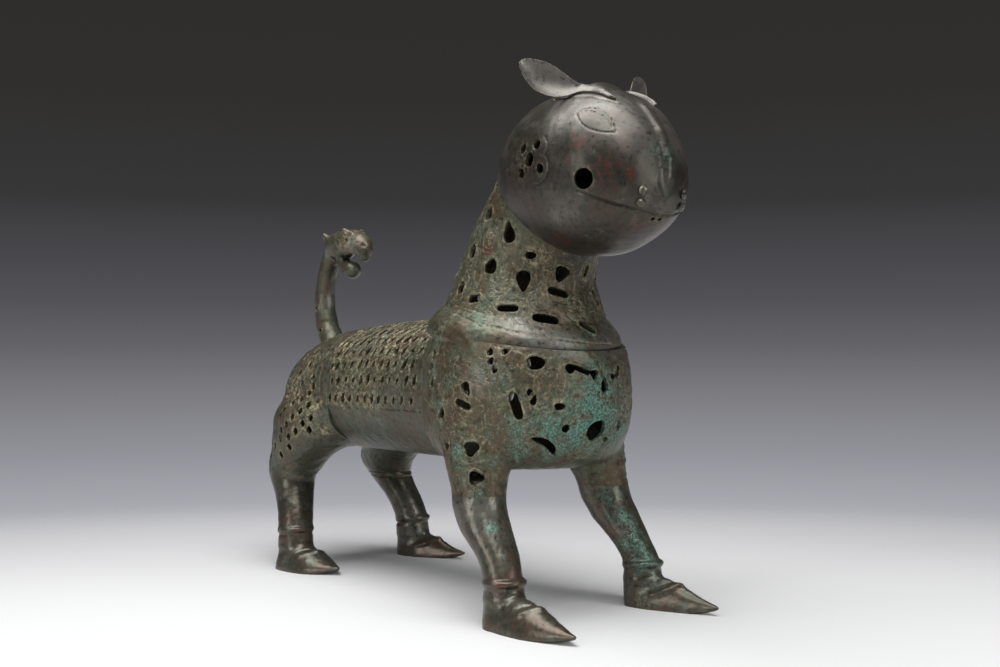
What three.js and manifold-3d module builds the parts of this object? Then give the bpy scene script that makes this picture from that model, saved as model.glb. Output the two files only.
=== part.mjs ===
// A hollow bronze lion, an openwork incense burner with a hinged head.
// Millimetres, +X towards the lion's nose, +Y to its left, +Z up, standing on the ground at z = 0.
import * as THREE from 'three';
import { mergeVertices } from 'three/addons/utils/BufferGeometryUtils.js';
import Module from 'manifold-3d';

const wasm = await Module();
wasm.setup();

// Sizes that every casting shares: its wall, the gap between fitted pieces and how deep a cutter goes
const wall = 2.5;
const fit = 0.3;
const through = 14;
const farAway = 500;

// Trunk: an oval barrel that runs into a closed rump at the rear
const trunk = { belly: 94, backFront: 195, backSeam: 190, backRear: 182, halfWidth: 55, square: 2.3 };
const rumpEnd = -219;
const rumpSeam = -112;
const barrelFront = 22;
const barrelTongue = 8;
const rearWall = 4;

// Breast: a round pot about an upright line
const pot = { x: 62.5, radius: 71, floor: 93.5, top: 196 };
const collar = { x: 60, z: 182, tilt: 9, radius: 63.5, bead: 1.6, lipHeight: 7 };

// Neck and head meet on one sloping plane
const seam = { x: 90, z: 265, tilt: 47, halfLength: 45, halfWidth: 40.5 };
const head = { x: 129, z: 285, back: 60, front: 196, halfWidth: 49, rise: 54, drop: 53 };

const mouthHole = { ahead: 41, up: -11.5, radius: 5.7 };
const rosetteHole = { ahead: -4, up: 5, radius: 4.2 };

// Legs: the upper part belongs to the trunk castings, the lower part slips in below the knee line
const fore = { knee: 79, ankleX: 114, ankleY: 59.2, heel: 14, toe: 67 };
const hind = { knee: 72, ankleX: -159, ankleY: 55.5, heel: 22, toe: 70 };
const leg = { spigot: 10, ankleZ: 25, ankleRadius: 13.4, ring: 2.8, hoofHalfWidth: 16.5, toeLift: 5 };

// Ears: leaf-shaped, with their hollow sides turned outwards and forwards
const ears = {
  aheadOfHead: 21,
  insideCheek: 14,
  belowCrown: 6,
  reach: { x: -37, y: 15, z: 22 },
  face: { x: 0.5, y: 0.85, z: 0.3 },
  halfWidth: 9.2,
  thick: 1.6,
};

// Tail
const tail = { x: -197, z: 176, rootRadius: 9, tipRadius: 6.5, tenonRadius: 5, tenon: 15 };
const key = { radius: 1.6, halfLength: 9, below: 9.5 };

// Head hinge at the nape
const hinge = {
  outset: 4.8,
  knuckle: 3.6,
  pin: 1.5,
  pinEnd: 1.5,
  running: 0.08,
  gap: 0.8,
  leafWidth: 18,
  leafLength: 19,
  leafThick: 2.2,
  root: 6,
  rootThick: 5.8,
};
const rivet = {
  shank: 1.3,
  head: 2.4,
  headHeight: 1.1,
  spread: 4.6,
  play: 0.5,
  innerPlay: 1.4,
  fromHinge: 14,
};

// Muzzle studs: shares of the head's run and angles about it, in degrees from the chin
const stud = { radius: 3.1, height: 1.6, shank: 1.3, length: 7, stand: 0.6 };
const studs = [
  { name: 'stud_upper', share: 0.925, angle: 68 },
  { name: 'stud_lower', share: 0.89, angle: 45 },
];

// Ember pan
const pan = { radius: 33, foot: 20, height: 20, wall: 2 };

// Openwork
const backSlits = { columns: 8, rows: 5, halfLength: 2.8, halfWidth: 1.6, start: 0.09, run: 0.68, spread: 62 };
const rumpHoles = { columns: 3, rows: 4, radius: 2.2, start: 0.4, run: 0.42, low: 88, step: 15 };
const neckHoles = { shares: [0.22, 0.42, 0.62], perRow: 6, radius: 3.6, spread: 120 };
const breastHoles = { shares: [0.48, 0.68], perRow: 7, radius: 3.8, spread: 100 };

// How finely each kind of piece is faceted: sides round a casting or a small piece, and steps along it
const facets = { round: 22, small: 10, leg: 10, rump: 8, barrel: 3, pot: 9, neck: 8, head: 10, legSteps: 8 };

// Turns a closed geometry into a solid that can be joined and cut
function solidOf(geometry) {
  const bare = geometry.index ? geometry.clone() : geometry;
  bare.deleteAttribute('normal');
  bare.deleteAttribute('uv');
  const merged = mergeVertices(bare, 1e-5);
  const vertProperties = new Float32Array(merged.attributes.position.array);
  const triVerts = new Uint32Array(merged.index.array);
  return new wasm.Manifold(new wasm.Mesh({ numProp: 3, vertProperties, triVerts }));
}

const lion = new THREE.Group();

// Adds a finished solid to the lion as one named mesh
function add(name, solid, material, parent = lion) {
  const { vertProperties, triVerts } = solid.getMesh();
  const geometry = new THREE.BufferGeometry();
  geometry.setAttribute('position', new THREE.BufferAttribute(new Float32Array(vertProperties), 3));
  geometry.setIndex(new THREE.BufferAttribute(new Uint32Array(triVerts), 1));
  geometry.computeVertexNormals();
  const mesh = new THREE.Mesh(geometry, material);
  mesh.name = name;
  parent.add(mesh);
  return mesh;
}

// One station of a loft: a rounded section, upright when tilt is 90 and level when it is 0
function station(x, y, z, tilt, ahead, behind, wide, square = 2) {
  return { x, y, z, tilt, ahead, behind, wide, square };
}

// A smooth curve from b to c, a share t of the way, with a and d as its neighbours
function smooth(a, b, c, d, t) {
  const bend = 2 * a - 5 * b + 4 * c - d;
  return 0.5 * (2 * b + (c - a) * t + bend * t * t + (3 * b - a - 3 * c + d) * t * t * t);
}

// The section at a share of the way along the stations
function sectionAt(stations, share) {
  const place = THREE.MathUtils.clamp(share, 0, 1) * (stations.length - 1);
  const i = Math.min(Math.floor(place), stations.length - 2);
  const near = (k) => stations[THREE.MathUtils.clamp(k, 0, stations.length - 1)];
  const section = {};
  for (const field of Object.keys(stations[0])) {
    const values = [near(i - 1), near(i), near(i + 1), near(i + 2)].map((one) => one[field]);
    section[field] = smooth(...values, place - i);
  }
  return section;
}

function axesOf(section) {
  const tilt = THREE.MathUtils.degToRad(section.tilt);
  const forward = new THREE.Vector3(Math.cos(tilt), 0, -Math.sin(tilt));
  const normal = new THREE.Vector3(Math.sin(tilt), 0, Math.cos(tilt));
  return { forward, normal };
}

// A point of the section's outline: angle 0 is forward, a quarter turn is the lion's left
function outlinePoint(section, angle, reach = 1) {
  const { forward } = axesOf(section);
  const power = 2 / section.square;
  const c = Math.cos(angle);
  const s = Math.sin(angle);
  const along = Math.sign(c) * Math.abs(c) ** power * (c > 0 ? section.ahead : section.behind);
  const across = Math.sign(s) * Math.abs(s) ** power * section.wide;
  return new THREE.Vector3(section.x, section.y, section.z)
    .addScaledVector(forward, along * reach)
    .add(new THREE.Vector3(0, across * reach, 0));
}

// A closed skin through the stations, drawn over a unit cylinder
function loftGeometry(stations, sides, steps) {
  const geometry = new THREE.CylinderGeometry(1, 1, 1, sides, steps);
  const position = geometry.attributes.position;
  for (let i = 0; i < position.count; i += 1) {
    const section = sectionAt(stations, position.getY(i) + 0.5);
    const x = position.getX(i);
    const z = position.getZ(i);
    const point = outlinePoint(section, Math.atan2(x, z), Math.hypot(x, z));
    position.setXYZ(i, point.x, point.y, point.z);
  }
  return geometry;
}

function loft(stations, sides, steps) {
  return solidOf(loftGeometry(stations, sides, steps));
}

// The same stations drawn in by an amount, with the two ends moved along the run
function inset(stations, amount, startShift = 0, endShift = 0) {
  return stations.map((s, i) => {
    const { normal } = axesOf(s);
    const shift = i === 0 ? startShift : i === stations.length - 1 ? endShift : 0;
    return {
      ...s,
      x: s.x + normal.x * shift,
      z: s.z + normal.z * shift,
      ahead: s.ahead - amount,
      behind: s.behind - amount,
      wide: s.wide - amount,
    };
  });
}

// Round stations about the collar's line: each pair is a rise above the collar plane and a radius
function collarRings(pairs) {
  const { normal } = axesOf({ tilt: collar.tilt });
  return pairs.map(([rise, r]) => (
    station(collar.x + normal.x * rise, 0, collar.z + normal.z * rise, collar.tilt, r, r, r)
  ));
}

function mirrored(stations) {
  return stations.map((s) => ({ ...s, y: -s.y }));
}

// A box that fills one side of a plane: it starts at the plane and runs along the normal
function beyond(x, z, tilt, shift = 0) {
  const geometry = new THREE.BoxGeometry(farAway, farAway, farAway);
  geometry.translate(0, 0, farAway / 2 + shift);
  geometry.rotateY(THREE.MathUtils.degToRad(tilt));
  geometry.translate(x, 0, z);
  return solidOf(geometry);
}

// A straight bar between two points, round or flattened
function bar(from, to, radius, sides = 10, flatten = 1) {
  const direction = new THREE.Vector3().subVectors(to, from);
  const geometry = new THREE.CylinderGeometry(radius, radius, direction.length(), sides);
  geometry.scale(1, 1, flatten);
  const upright = new THREE.Vector3(0, 1, 0);
  geometry.applyQuaternion(new THREE.Quaternion().setFromUnitVectors(upright, direction.clone().normalize()));
  const middle = new THREE.Vector3().addVectors(from, to).multiplyScalar(0.5);
  geometry.translate(middle.x, middle.y, middle.z);
  return solidOf(geometry);
}

// A place on a loft's skin, at a share of its run and an angle about it, with the way out of the skin
function skinPlace(stations, share, angle) {
  const step = 0.01;
  const section = sectionAt(stations, share);
  const skin = outlinePoint(section, angle);
  const run = outlinePoint(sectionAt(stations, share + step), angle)
    .sub(outlinePoint(sectionAt(stations, share - step), angle));
  const around = outlinePoint(section, angle + step).sub(outlinePoint(section, angle - step));
  const outward = new THREE.Vector3().crossVectors(around, run).normalize();
  return { skin, outward };
}

// A cutter square to the skin at such a place
function bore({ skin, outward }, radius, sides = 5, flatten = 1) {
  const inner = skin.clone().addScaledVector(outward, -through / 2);
  const outer = skin.clone().addScaledVector(outward, through / 2);
  return bar(inner, outer, radius, sides, flatten);
}

function joined(solids) {
  return solids.reduce((whole, next) => whole.add(next));
}

function bronze(colour, roughness) {
  return new THREE.MeshStandardMaterial({ color: colour, roughness, metalness: 0.85 });
}
const darkBronze = bronze(0x35322b, 0.55);
const greenBronze = bronze(0x3b4a3e, 0.62);
const headBronze = bronze(0x3f3735, 0.42);
const iron = bronze(0x2c2622, 0.6);

// Trunk stations from the closed rump forward, standing upright
function trunkStation(x, back, belly, halfWidth, square = trunk.square) {
  const middle = (back + belly) / 2;
  return station(x, 0, middle, 90, middle - belly, back - middle, halfWidth, square);
}
const rumpStations = [
  trunkStation(rumpEnd, trunk.belly + 46, trunk.belly + 34, 8, 2),
  trunkStation(rumpEnd + 5, trunk.belly + 62, trunk.belly + 21, 26, 2),
  trunkStation(rumpEnd + 17, trunk.backRear - 11, trunk.belly + 9, 41, 2.05),
  trunkStation(rumpEnd + 37, trunk.backRear - 2, trunk.belly + 2, trunk.halfWidth - 4, 2.1),
  trunkStation(rumpEnd + 69, trunk.backRear + 4, trunk.belly, trunk.halfWidth),
  trunkStation(rumpSeam, trunk.backSeam, trunk.belly, trunk.halfWidth),
];
const barrelStations = [
  trunkStation(rumpSeam, trunk.backSeam, trunk.belly, trunk.halfWidth),
  trunkStation((2 * rumpSeam + barrelFront) / 3, trunk.backSeam + 3, trunk.belly, trunk.halfWidth),
  trunkStation((rumpSeam + 2 * barrelFront) / 3, trunk.backFront - 1, trunk.belly, trunk.halfWidth),
  trunkStation(barrelFront, trunk.backFront, trunk.belly, trunk.halfWidth),
];

// Each pair is a rise above the floor and how far the pot is drawn in there
const potRise = pot.top - pot.floor;
const potStations = [
  [0, 37], [3, 20], [12, 8.5], [26, 2], [45, 0], [64, 1], [82, 5], [potRise, 15],
].map(([rise, drawnIn]) => {
  const radius = pot.radius - drawnIn;
  return station(pot.x, 0, pot.floor + rise, 0, radius, radius, radius);
});

// Part of the way up and forward from the collar to the seam
function neckStation(up, forward, tilt, ahead, behind, wide) {
  const x = THREE.MathUtils.lerp(collar.x, seam.x, forward);
  const z = THREE.MathUtils.lerp(collar.z, seam.z, up);
  return station(x, 0, z, tilt, ahead, behind, wide);
}
const neckStations = [
  neckStation(0, 0, collar.tilt, collar.radius, collar.radius, collar.radius),
  neckStation(0.133, 0.033, collar.tilt, collar.radius - 5.5, collar.radius - 5.5, collar.radius - 6),
  neckStation(0.277, 0.083, 11, collar.radius - 9.5, collar.radius - 10.5, collar.radius - 11.5),
  neckStation(0.518, 0.2, 16, seam.halfLength + 1.5, seam.halfLength + 5, seam.halfWidth + 4.5),
  neckStation(0.735, 0.483, 28, seam.halfLength - 0.5, seam.halfLength + 2.5, seam.halfWidth + 1.5),
  neckStation(0.886, 0.767, 38, seam.halfLength + 0.5, seam.halfLength + 1, seam.halfWidth + 0.5),
  neckStation(1, 1, seam.tilt, seam.halfLength, seam.halfLength, seam.halfWidth),
];

// The head's stations run from its back to its muzzle, standing upright
function headStation(x, wide, rise, drop, lift = 0, square = 2.1) {
  return station(x, 0, head.z + lift, 90, drop, rise, wide, square);
}
const headStations = [
  headStation(head.back, 8, 8, 8, 4),
  headStation(head.back + 5, head.halfWidth - 24, head.rise - 28, head.drop - 27, 4),
  headStation(head.back + 19, head.halfWidth - 12, head.rise - 15, head.drop - 12, 1),
  headStation(head.back + 41, head.halfWidth - 3, head.rise - 5, head.drop - 3, 1),
  headStation(head.x, head.halfWidth, head.rise, head.drop),
  headStation(head.x + 20, head.halfWidth - 2, head.rise - 3, head.drop - 1, -1),
  headStation(head.front - 30, head.halfWidth - 5.5, head.rise - 7, head.drop - 9.5, -3, 2.2),
  headStation(head.front - 15, head.halfWidth - 15.5, head.rise - 17, head.drop - 21, -7, 2.2),
  headStation(head.front - 5, head.halfWidth - 26, head.rise - 28, head.drop - 33, -11, 2.2),
  headStation(head.front, 8, 9, 9, -13, 2),
];

// Leg stations from the ankle up into the trunk, on the lion's left. Each lies so far behind the ankle
// and so much nearer the middle, at its height above the ground, with its half sizes.
function legStation(size, back, inward, z, ahead, behind = ahead, wide = ahead) {
  return station(size.ankleX - back, size.ankleY - inward, z, 0, ahead, behind, wide);
}
const foreStations = [
  legStation(fore, 0, 0, leg.ankleZ - 9, leg.ankleRadius),
  legStation(fore, 2, 0.2, leg.ankleZ + 5, leg.ankleRadius - 0.8),
  legStation(fore, 10, 2.2, 43, 14, 14, 13.5),
  legStation(fore, 22, 3.2, 56, 17, 17.5, 16),
  legStation(fore, 31.5, 4.7, 70, 18, 18.5, 17),
  legStation(fore, 35, 6.2, 82, 18.5, 18.5, 17.5),
  legStation(fore, 38.5, 8.7, 95, 22, 23, 20),
  legStation(fore, 43, 12.7, 112, 27, 28, 23.5),
  legStation(fore, 47, 17.2, 130, 27, 28, 24),
  legStation(fore, 48, 22.2, 146, 20, 20, 18),
];
const hindStations = [
  legStation(hind, 0, 0, leg.ankleZ - 9, leg.ankleRadius + 0.4),
  legStation(hind, 2, 1, leg.ankleZ + 8, leg.ankleRadius + 0.2),
  legStation(hind, 8, 3.9, 47, 14.5, 14.5, 14.2),
  legStation(hind, 15, 7, 58, 15.5, 16.8, 15.5),
  legStation(hind, 21, 9.5, 69, 18.5, 20.5, 17.5),
  legStation(hind, 20, 12, 80, 25, 23, 20.5),
  legStation(hind, 10, 13, 92, 33, 33, 23.5),
  legStation(hind, 0, 14.5, 106, 39, 42, 27),
  legStation(hind, -4, 17.5, 122, 42, 45, 28),
  legStation(hind, -7, 25.5, 140, 30, 30, 22),
];

// Level slab between two heights, for cutting a leg at its knee line
function slab(low, high) {
  return beyond(0, low, 0).subtract(beyond(0, high, 0));
}

function upperLeg(stations, knee) {
  return loft(stations, facets.leg, facets.legSteps).intersect(beyond(0, knee, 0));
}

function legCore(stations, knee) {
  return loft(inset(stations, wall + 0.5, 0, 0), facets.leg, facets.legSteps).intersect(beyond(0, knee - 1, 0));
}

// Long pointed hoof whose toe lifts off the ground, cut flat below
function hoof(ankleX, ankleY, heel, toe) {
  const w = leg.hoofHalfWidth;
  const part = (x, low, high, wide, square = 2.2) => {
    const middle = (low + high) / 2;
    return station(x, ankleY, middle, 90, middle - low, high - middle, wide, square);
  };
  const stations = [
    part(ankleX - heel, -2, 8, w - 9),
    part(ankleX - heel + 5, -6, 17, w - 3.5),
    part(ankleX - 2, -8, 26, w - 0.5),
    part(ankleX + 14, -8, 24, w),
    part(ankleX + 0.46 * toe, -6, 14.5, w - 1),
    part(ankleX + 0.68 * toe, -3, 10, w - 4.5),
    part(ankleX + 0.86 * toe, leg.toeLift * 0.4, 8.6, w - 9.5),
    part(ankleX + toe, leg.toeLift, leg.toeLift + 3.4, 1.6),
  ];
  return loft(stations, facets.small, 9).intersect(beyond(0, 0, 0));
}

function ankleRing(x, y) {
  const profile = [];
  const points = 6;
  for (let i = 0; i <= points; i += 1) {
    const turn = (i / points) * 2 * Math.PI;
    const r = leg.ankleRadius - 0.6 + leg.ring * Math.cos(turn);
    profile.push(new THREE.Vector2(r, leg.ring * Math.sin(turn)));
  }
  const geometry = new THREE.LatheGeometry(profile, 12);
  geometry.rotateX(Math.PI / 2);
  geometry.translate(x, y, leg.ankleZ);
  return solidOf(geometry);
}

function lowerLeg(stations, size) {
  const shank = loft(stations, facets.leg, facets.legSteps).intersect(slab(leg.ankleZ - 8, size.knee - fit));
  const side = Math.sign(stations[0].y);
  const spigot = loft(inset(stations, wall + 0.5 + fit), facets.leg, facets.legSteps)
    .intersect(slab(size.knee - 3, size.knee + leg.spigot));
  const foot = hoof(size.ankleX, side * size.ankleY, size.heel, size.toe);
  return joined([shank, spigot, foot, ankleRing(size.ankleX, side * size.ankleY)]);
}

// Openwork cutters
function slitGrid() {
  const cutters = [];
  const spread = THREE.MathUtils.degToRad(backSlits.spread);
  const slim = backSlits.halfWidth / backSlits.halfLength;
  for (let c = 0; c < backSlits.columns; c += 1) {
    for (let r = 0; r < backSlits.rows; r += 1) {
      const share = backSlits.start + (backSlits.run * c) / (backSlits.columns - 1);
      const angle = Math.PI + spread * ((2 * r) / (backSlits.rows - 1) - 1);
      cutters.push(bore(skinPlace(barrelStations, share, angle), backSlits.halfLength, 4, slim));
    }
  }
  return cutters;
}

function rumpLattice() {
  const cutters = [];
  for (const side of [-1, 1]) {
    for (let c = 0; c < rumpHoles.columns; c += 1) {
      for (let r = 0; r < rumpHoles.rows; r += 1) {
        const share = rumpHoles.start + (rumpHoles.run * (c + (r % 2) / 2)) / (rumpHoles.columns - 1);
        const angle = side * THREE.MathUtils.degToRad(rumpHoles.low + rumpHoles.step * r);
        cutters.push(bore(skinPlace(rumpStations, share, angle), rumpHoles.radius, 4));
      }
    }
  }
  return cutters;
}

// Rows of oval holes round the front of a loft, each row half a hole on from the last
function ringOfHoles(stations, { shares, perRow, radius, spread }) {
  const cutters = [];
  shares.forEach((share, row) => {
    for (let i = 0; i < perRow; i += 1) {
      const angle = THREE.MathUtils.degToRad(spread) * ((2 * (i + (row % 2) / 2)) / (perRow - 0.5) - 1);
      cutters.push(bore(skinPlace(stations, share, angle), radius, 5, 0.72));
    }
  });
  return cutters;
}

// Tail: an S-shaped stem that ends in a small open-mouthed beast's head
function tailStem() {
  const stations = [
    station(tail.x, 0, tail.z + 1, -10, tail.rootRadius, tail.rootRadius, tail.rootRadius),
    station(tail.x - 9, 0, tail.z + 16, -16, tail.rootRadius - 1, tail.rootRadius - 1, tail.rootRadius - 1),
    station(tail.x - 13.5, 0, tail.z + 34, -3, tail.tipRadius + 1, tail.tipRadius + 1, tail.tipRadius + 0.5),
    station(tail.x - 12, 0, tail.z + 52, 9, tail.tipRadius + 0.5, tail.tipRadius + 0.5, tail.tipRadius - 0.5),
    station(tail.x - 6, 0, tail.z + 68, 26, tail.tipRadius, tail.tipRadius, tail.tipRadius - 0.5),
    station(tail.x + 9, 0, tail.z + 80, 60, tail.tipRadius + 0.5, tail.tipRadius + 0.5, tail.tipRadius + 0.5),
  ];
  return loft(stations, facets.small, 9);
}

function tailBeast() {
  const x = tail.x + 6;
  const z = tail.z + 82;
  const skull = loft([
    station(x, 0, z - 2, 90, 5, 5, 5),
    station(x + 6, 0, z + 1, 90, 10, 10, 10),
    station(x + 18, 0, z + 1, 92, 10.5, 11, 11.5),
    station(x + 32, 0, z - 1, 96, 6.5, 8, 9),
    station(x + 44, 0, z - 4, 100, 4, 5.5, 6.5),
    station(x + 50, 0, z - 6, 104, 2, 2.5, 3),
  ], facets.small, 7);
  const jaw = loft([
    station(x + 12, 0, z - 8, 110, 5, 5, 6),
    station(x + 24, 0, z - 17, 115, 4.5, 5, 6),
    station(x + 33, 0, z - 22, 110, 4, 4, 4.5),
    station(x + 37, 0, z - 23, 100, 1.5, 1.5, 2),
  ], 8, 4);
  const ears = [-1, 1].map((side) => bar(
    new THREE.Vector3(x + 8, side * 7, z + 5),
    new THREE.Vector3(x + 2, side * 11, z + 12),
    2.6,
    6,
    0.6,
  ));
  return joined([skull, jaw, ...ears]);
}

// Ear: a hollowed leaf on a foot that lies along the brow
function ear(side, headSkinGrown) {
  const base = new THREE.Vector3(
    head.x + ears.aheadOfHead,
    side * (head.halfWidth - ears.insideCheek),
    head.z + head.rise - ears.belowCrown,
  );
  const tip = new THREE.Vector3(ears.reach.x, side * ears.reach.y, ears.reach.z).add(base);
  const length = base.distanceTo(tip);
  const along = new THREE.Vector3().subVectors(tip, base).normalize();
  const face = new THREE.Vector3(ears.face.x, side * ears.face.y, ears.face.z);
  const width = new THREE.Vector3().crossVectors(along, face).normalize();
  face.crossVectors(width, along);
  const upright = new THREE.Matrix4().makeBasis(face, width, along).setPosition(base);
  const t = ears.thick;
  const blade = (grow, lift) => {
    const geometry = loftGeometry([
      station(lift, 0, -2, 0, t + grow, t + grow, 5 + grow),
      station(lift, 0, 0.2 * length, 0, t + 0.8 + grow, t + 0.8 + grow, 0.82 * ears.halfWidth + grow),
      station(lift, 0, 0.48 * length, 0, t + 1 + grow, t + 1 + grow, ears.halfWidth + grow),
      station(lift, 0, 0.78 * length, 0, t + 0.4 + grow, t + 0.4 + grow, 0.72 * ears.halfWidth + grow),
      station(lift, 0, length, 0, 1.3, 1.3, 2 + grow),
    ], facets.small, 6);
    return solidOf(geometry.applyMatrix4(upright));
  };
  const hollow = blade(-1.6, t + 0.6);
  const foot = loft([
    station(base.x - 2, base.y - side, base.z - 2, 90, 5, 5, 6),
    station(base.x + 8, base.y - side * 5, base.z - 5, 97, 4.5, 4.5, 4.6),
    station(base.x + 20, base.y - side * 10, base.z - 12, 106, 3, 3, 2.6),
  ], 8, 3);
  return joined([blade(0, 0).subtract(hollow), foot]).subtract(headSkinGrown);
}

// Rivet square to a skin: it passes through leaf and wall and is headed at both ends
function rivetSolid({ skin, outward }) {
  const cap = rivet.headHeight;
  const low = -wall - rivet.innerPlay;
  const high = fit + hinge.leafThick + rivet.play;
  const profile = [
    new THREE.Vector2(0, low - cap),
    new THREE.Vector2(rivet.head * 0.7, low - cap),
    new THREE.Vector2(rivet.head, low),
    new THREE.Vector2(rivet.shank, low),
    new THREE.Vector2(rivet.shank, high),
    new THREE.Vector2(rivet.head, high),
    new THREE.Vector2(rivet.head * 0.7, high + cap),
    new THREE.Vector2(0, high + cap),
  ];
  const geometry = new THREE.LatheGeometry(profile, 8);
  geometry.applyQuaternion(new THREE.Quaternion().setFromUnitVectors(new THREE.Vector3(0, 1, 0), outward));
  geometry.translate(skin.x, skin.y, skin.z);
  return solidOf(geometry);
}

// Castings
const trunkSkin = loft(rumpStations, facets.round, facets.rump);
const trunkCore = loft(inset(rumpStations, wall, wall, rearWall), facets.round, facets.rump);
const barrelSkin = loft(barrelStations, facets.round, facets.barrel);
const barrelGrown = loft(inset(barrelStations, -fit, -2, fit), facets.round, facets.barrel);
const hindLegs = [hindStations, mirrored(hindStations)];
const foreLegs = [foreStations, mirrored(foreStations)];

const tailHole = bar(
  new THREE.Vector3(tail.x, 0, tail.z - 25),
  new THREE.Vector3(tail.x, 0, tail.z + 12),
  tail.tenonRadius + fit,
  12,
);
const rumpShell = joined([trunkSkin, ...hindLegs.map((s) => upperLeg(s, hind.knee))])
  .subtract(joined([trunkCore, ...hindLegs.map((s) => legCore(s, hind.knee))]))
  .subtract(joined([...rumpLattice(), tailHole, beyond(rumpSeam, 0, 90)]));

// The barrel's rear end steps down to a tongue that slips inside the rump
const tongueInset = wall + fit;
const tongue = loft(inset(rumpStations, tongueInset, wall, rearWall), facets.round, facets.rump)
  .intersect(beyond(rumpSeam - barrelTongue, 0, 90));
const tongueBore = loft(inset(rumpStations, tongueInset + wall, wall, 6), facets.round, facets.rump);
const barrelBore = loft(inset(barrelStations, tongueInset + wall, -1, 8), facets.round, facets.barrel);
const barrelInside = loft(inset(barrelStations, wall, 0, 8), facets.round, facets.barrel)
  .intersect(beyond(rumpSeam + 5, 0, 90));
const seatRadius = collar.radius + collar.bead + fit;
const neckSeat = loft(collarRings([[-fit, seatRadius], [40, seatRadius]]), facets.round, 1);
const barrelShell = joined([barrelSkin.intersect(beyond(rumpSeam + fit, 0, 90)), tongue])
  .subtract(joined([tongueBore, barrelBore, barrelInside, neckSeat, ...slitGrid()]));

const collarPlane = beyond(collar.x, collar.z, collar.tilt);
const neckSkin = loft(neckStations, facets.round, facets.neck);
const neckCore = loft(inset(neckStations, wall, -3, 4), facets.round, facets.neck);
const lipRadius = collar.radius - wall - fit - 2.6;
const lipStations = collarRings([[-14, lipRadius], [-4, lipRadius], [collar.lipHeight, lipRadius - 2]]);
const lip = loft(lipStations, facets.round, 2);
const lipCore = loft(inset(lipStations, wall, -5, 3), facets.round, 2);
const potSkin = loft(potStations, facets.round, facets.pot).subtract(collarPlane);
const potCore = loft(inset(potStations, wall, wall, wall), facets.round, facets.pot)
  .subtract(beyond(collar.x, collar.z, collar.tilt, -wall));
const breastShell = joined([potSkin, lip, ...foreLegs.map((s) => upperLeg(s, fore.knee))])
  .subtract(joined([potCore, lipCore, ...foreLegs.map((s) => legCore(s, fore.knee))]))
  .subtract(barrelGrown)
  .subtract(joined(ringOfHoles(potStations, breastHoles)));

const collarBead = collarRings([
  [fit, collar.radius + collar.bead],
  [collar.lipHeight, collar.radius - 1],
]);
const seamPlane = beyond(seam.x, seam.z, seam.tilt);

// Hinge line at the nape, just outside the seam's upper end
const seamAxes = axesOf({ tilt: seam.tilt });
const hingeOut = seam.halfLength + hinge.outset;
const hingeAt = new THREE.Vector3(seam.x, 0, seam.z).addScaledVector(seamAxes.forward, -hingeOut);
const across = new THREE.Vector3(0, 1, 0);

function hingeSleeve(low, high, radius) {
  const from = hingeAt.clone().addScaledVector(across, low);
  const to = hingeAt.clone().addScaledVector(across, high);
  return bar(from, to, radius, 16);
}

const third = hinge.leafWidth / 6;
const hingeBore = hingeSleeve(-hinge.leafWidth, hinge.leafWidth, hinge.pin + hinge.running);

// A block that starts at the hinge line and runs along a shell's skin
function hingeBlock(run, length, low, high, thick) {
  const geometry = new THREE.BoxGeometry(length, high - low, thick);
  geometry.translate(length / 2, (low + high) / 2, 0);
  const up = new THREE.Vector3().crossVectors(run, across).normalize();
  geometry.applyMatrix4(new THREE.Matrix4().makeBasis(run, across, up));
  geometry.translate(hingeAt.x, hingeAt.y, hingeAt.z);
  return solidOf(geometry);
}

// Which way a shell's skin runs away from the hinge line
function runTo(stations, share) {
  const skin = outlinePoint(sectionAt(stations, share), Math.PI);
  return new THREE.Vector3().subVectors(skin, hingeAt).normalize();
}

const headSkin = loft(headStations, facets.round, facets.head);
const headGrown = loft(inset(headStations, -fit, -fit, fit), facets.round, facets.head);
const neckGrown = loft(inset(neckStations, -fit, -fit, fit), facets.round, facets.neck);
const outerSpans = [[-3 * third, -third], [third, 3 * third]];
const middleSpan = [[-third + fit, third - fit]];

// Hinge rivets, two in each leaf, square to the skin
function rivetPlaces(stations, nearShare, farShare) {
  let near = nearShare;
  let far = farShare;
  for (let i = 0; i < 30; i += 1) {
    const middle = (near + far) / 2;
    const distance = outlinePoint(sectionAt(stations, middle), Math.PI).distanceTo(hingeAt);
    if (distance < rivet.fromHinge) {
      near = middle;
    } else {
      far = middle;
    }
  }
  const share = (near + far) / 2;
  const turn = Math.asin(rivet.spread / sectionAt(stations, share).wide);
  return [-1, 1].map((side) => skinPlace(stations, share, Math.PI + side * turn));
}
const neckRivets = rivetPlaces(neckStations, 1, 0.5);
const headRivets = rivetPlaces(headStations, 0.12, 0.5);
function rivetBore(place) {
  return bore(place, rivet.shank + fit, 10);
}

// A leaf is a plate that hugs its shell, a root below each knuckle, and the knuckles
function hingeLeaf({ run, grown, hug, spans, gaps, farSide, rivets }) {
  const half = hinge.leafWidth / 2;
  const plate = hingeBlock(run, hinge.leafLength, -half, half, 3 * hinge.leafThick + 4).intersect(hug);
  const roots = spans.map(([low, high]) => hingeBlock(run, hinge.root, low, high, hinge.rootThick));
  const knuckles = spans.map(([low, high]) => hingeSleeve(low, high, hinge.knuckle));
  const clearance = gaps.map(([low, high]) => hingeSleeve(low - fit, high + fit, hinge.knuckle + hinge.gap));
  return joined([joined([plate, ...roots]).subtract(farSide), ...knuckles])
    .subtract(joined([...clearance, grown, hingeBore, ...rivets.map(rivetBore)]));
}
const neckLeaf = hingeLeaf({
  run: runTo(neckStations, 0.8),
  grown: neckGrown,
  hug: loft(inset(neckStations, -fit - hinge.leafThick, 0, 3), facets.round, facets.neck),
  spans: outerSpans,
  gaps: middleSpan,
  farSide: beyond(seam.x, seam.z, seam.tilt, -fit),
  rivets: neckRivets,
});
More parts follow.
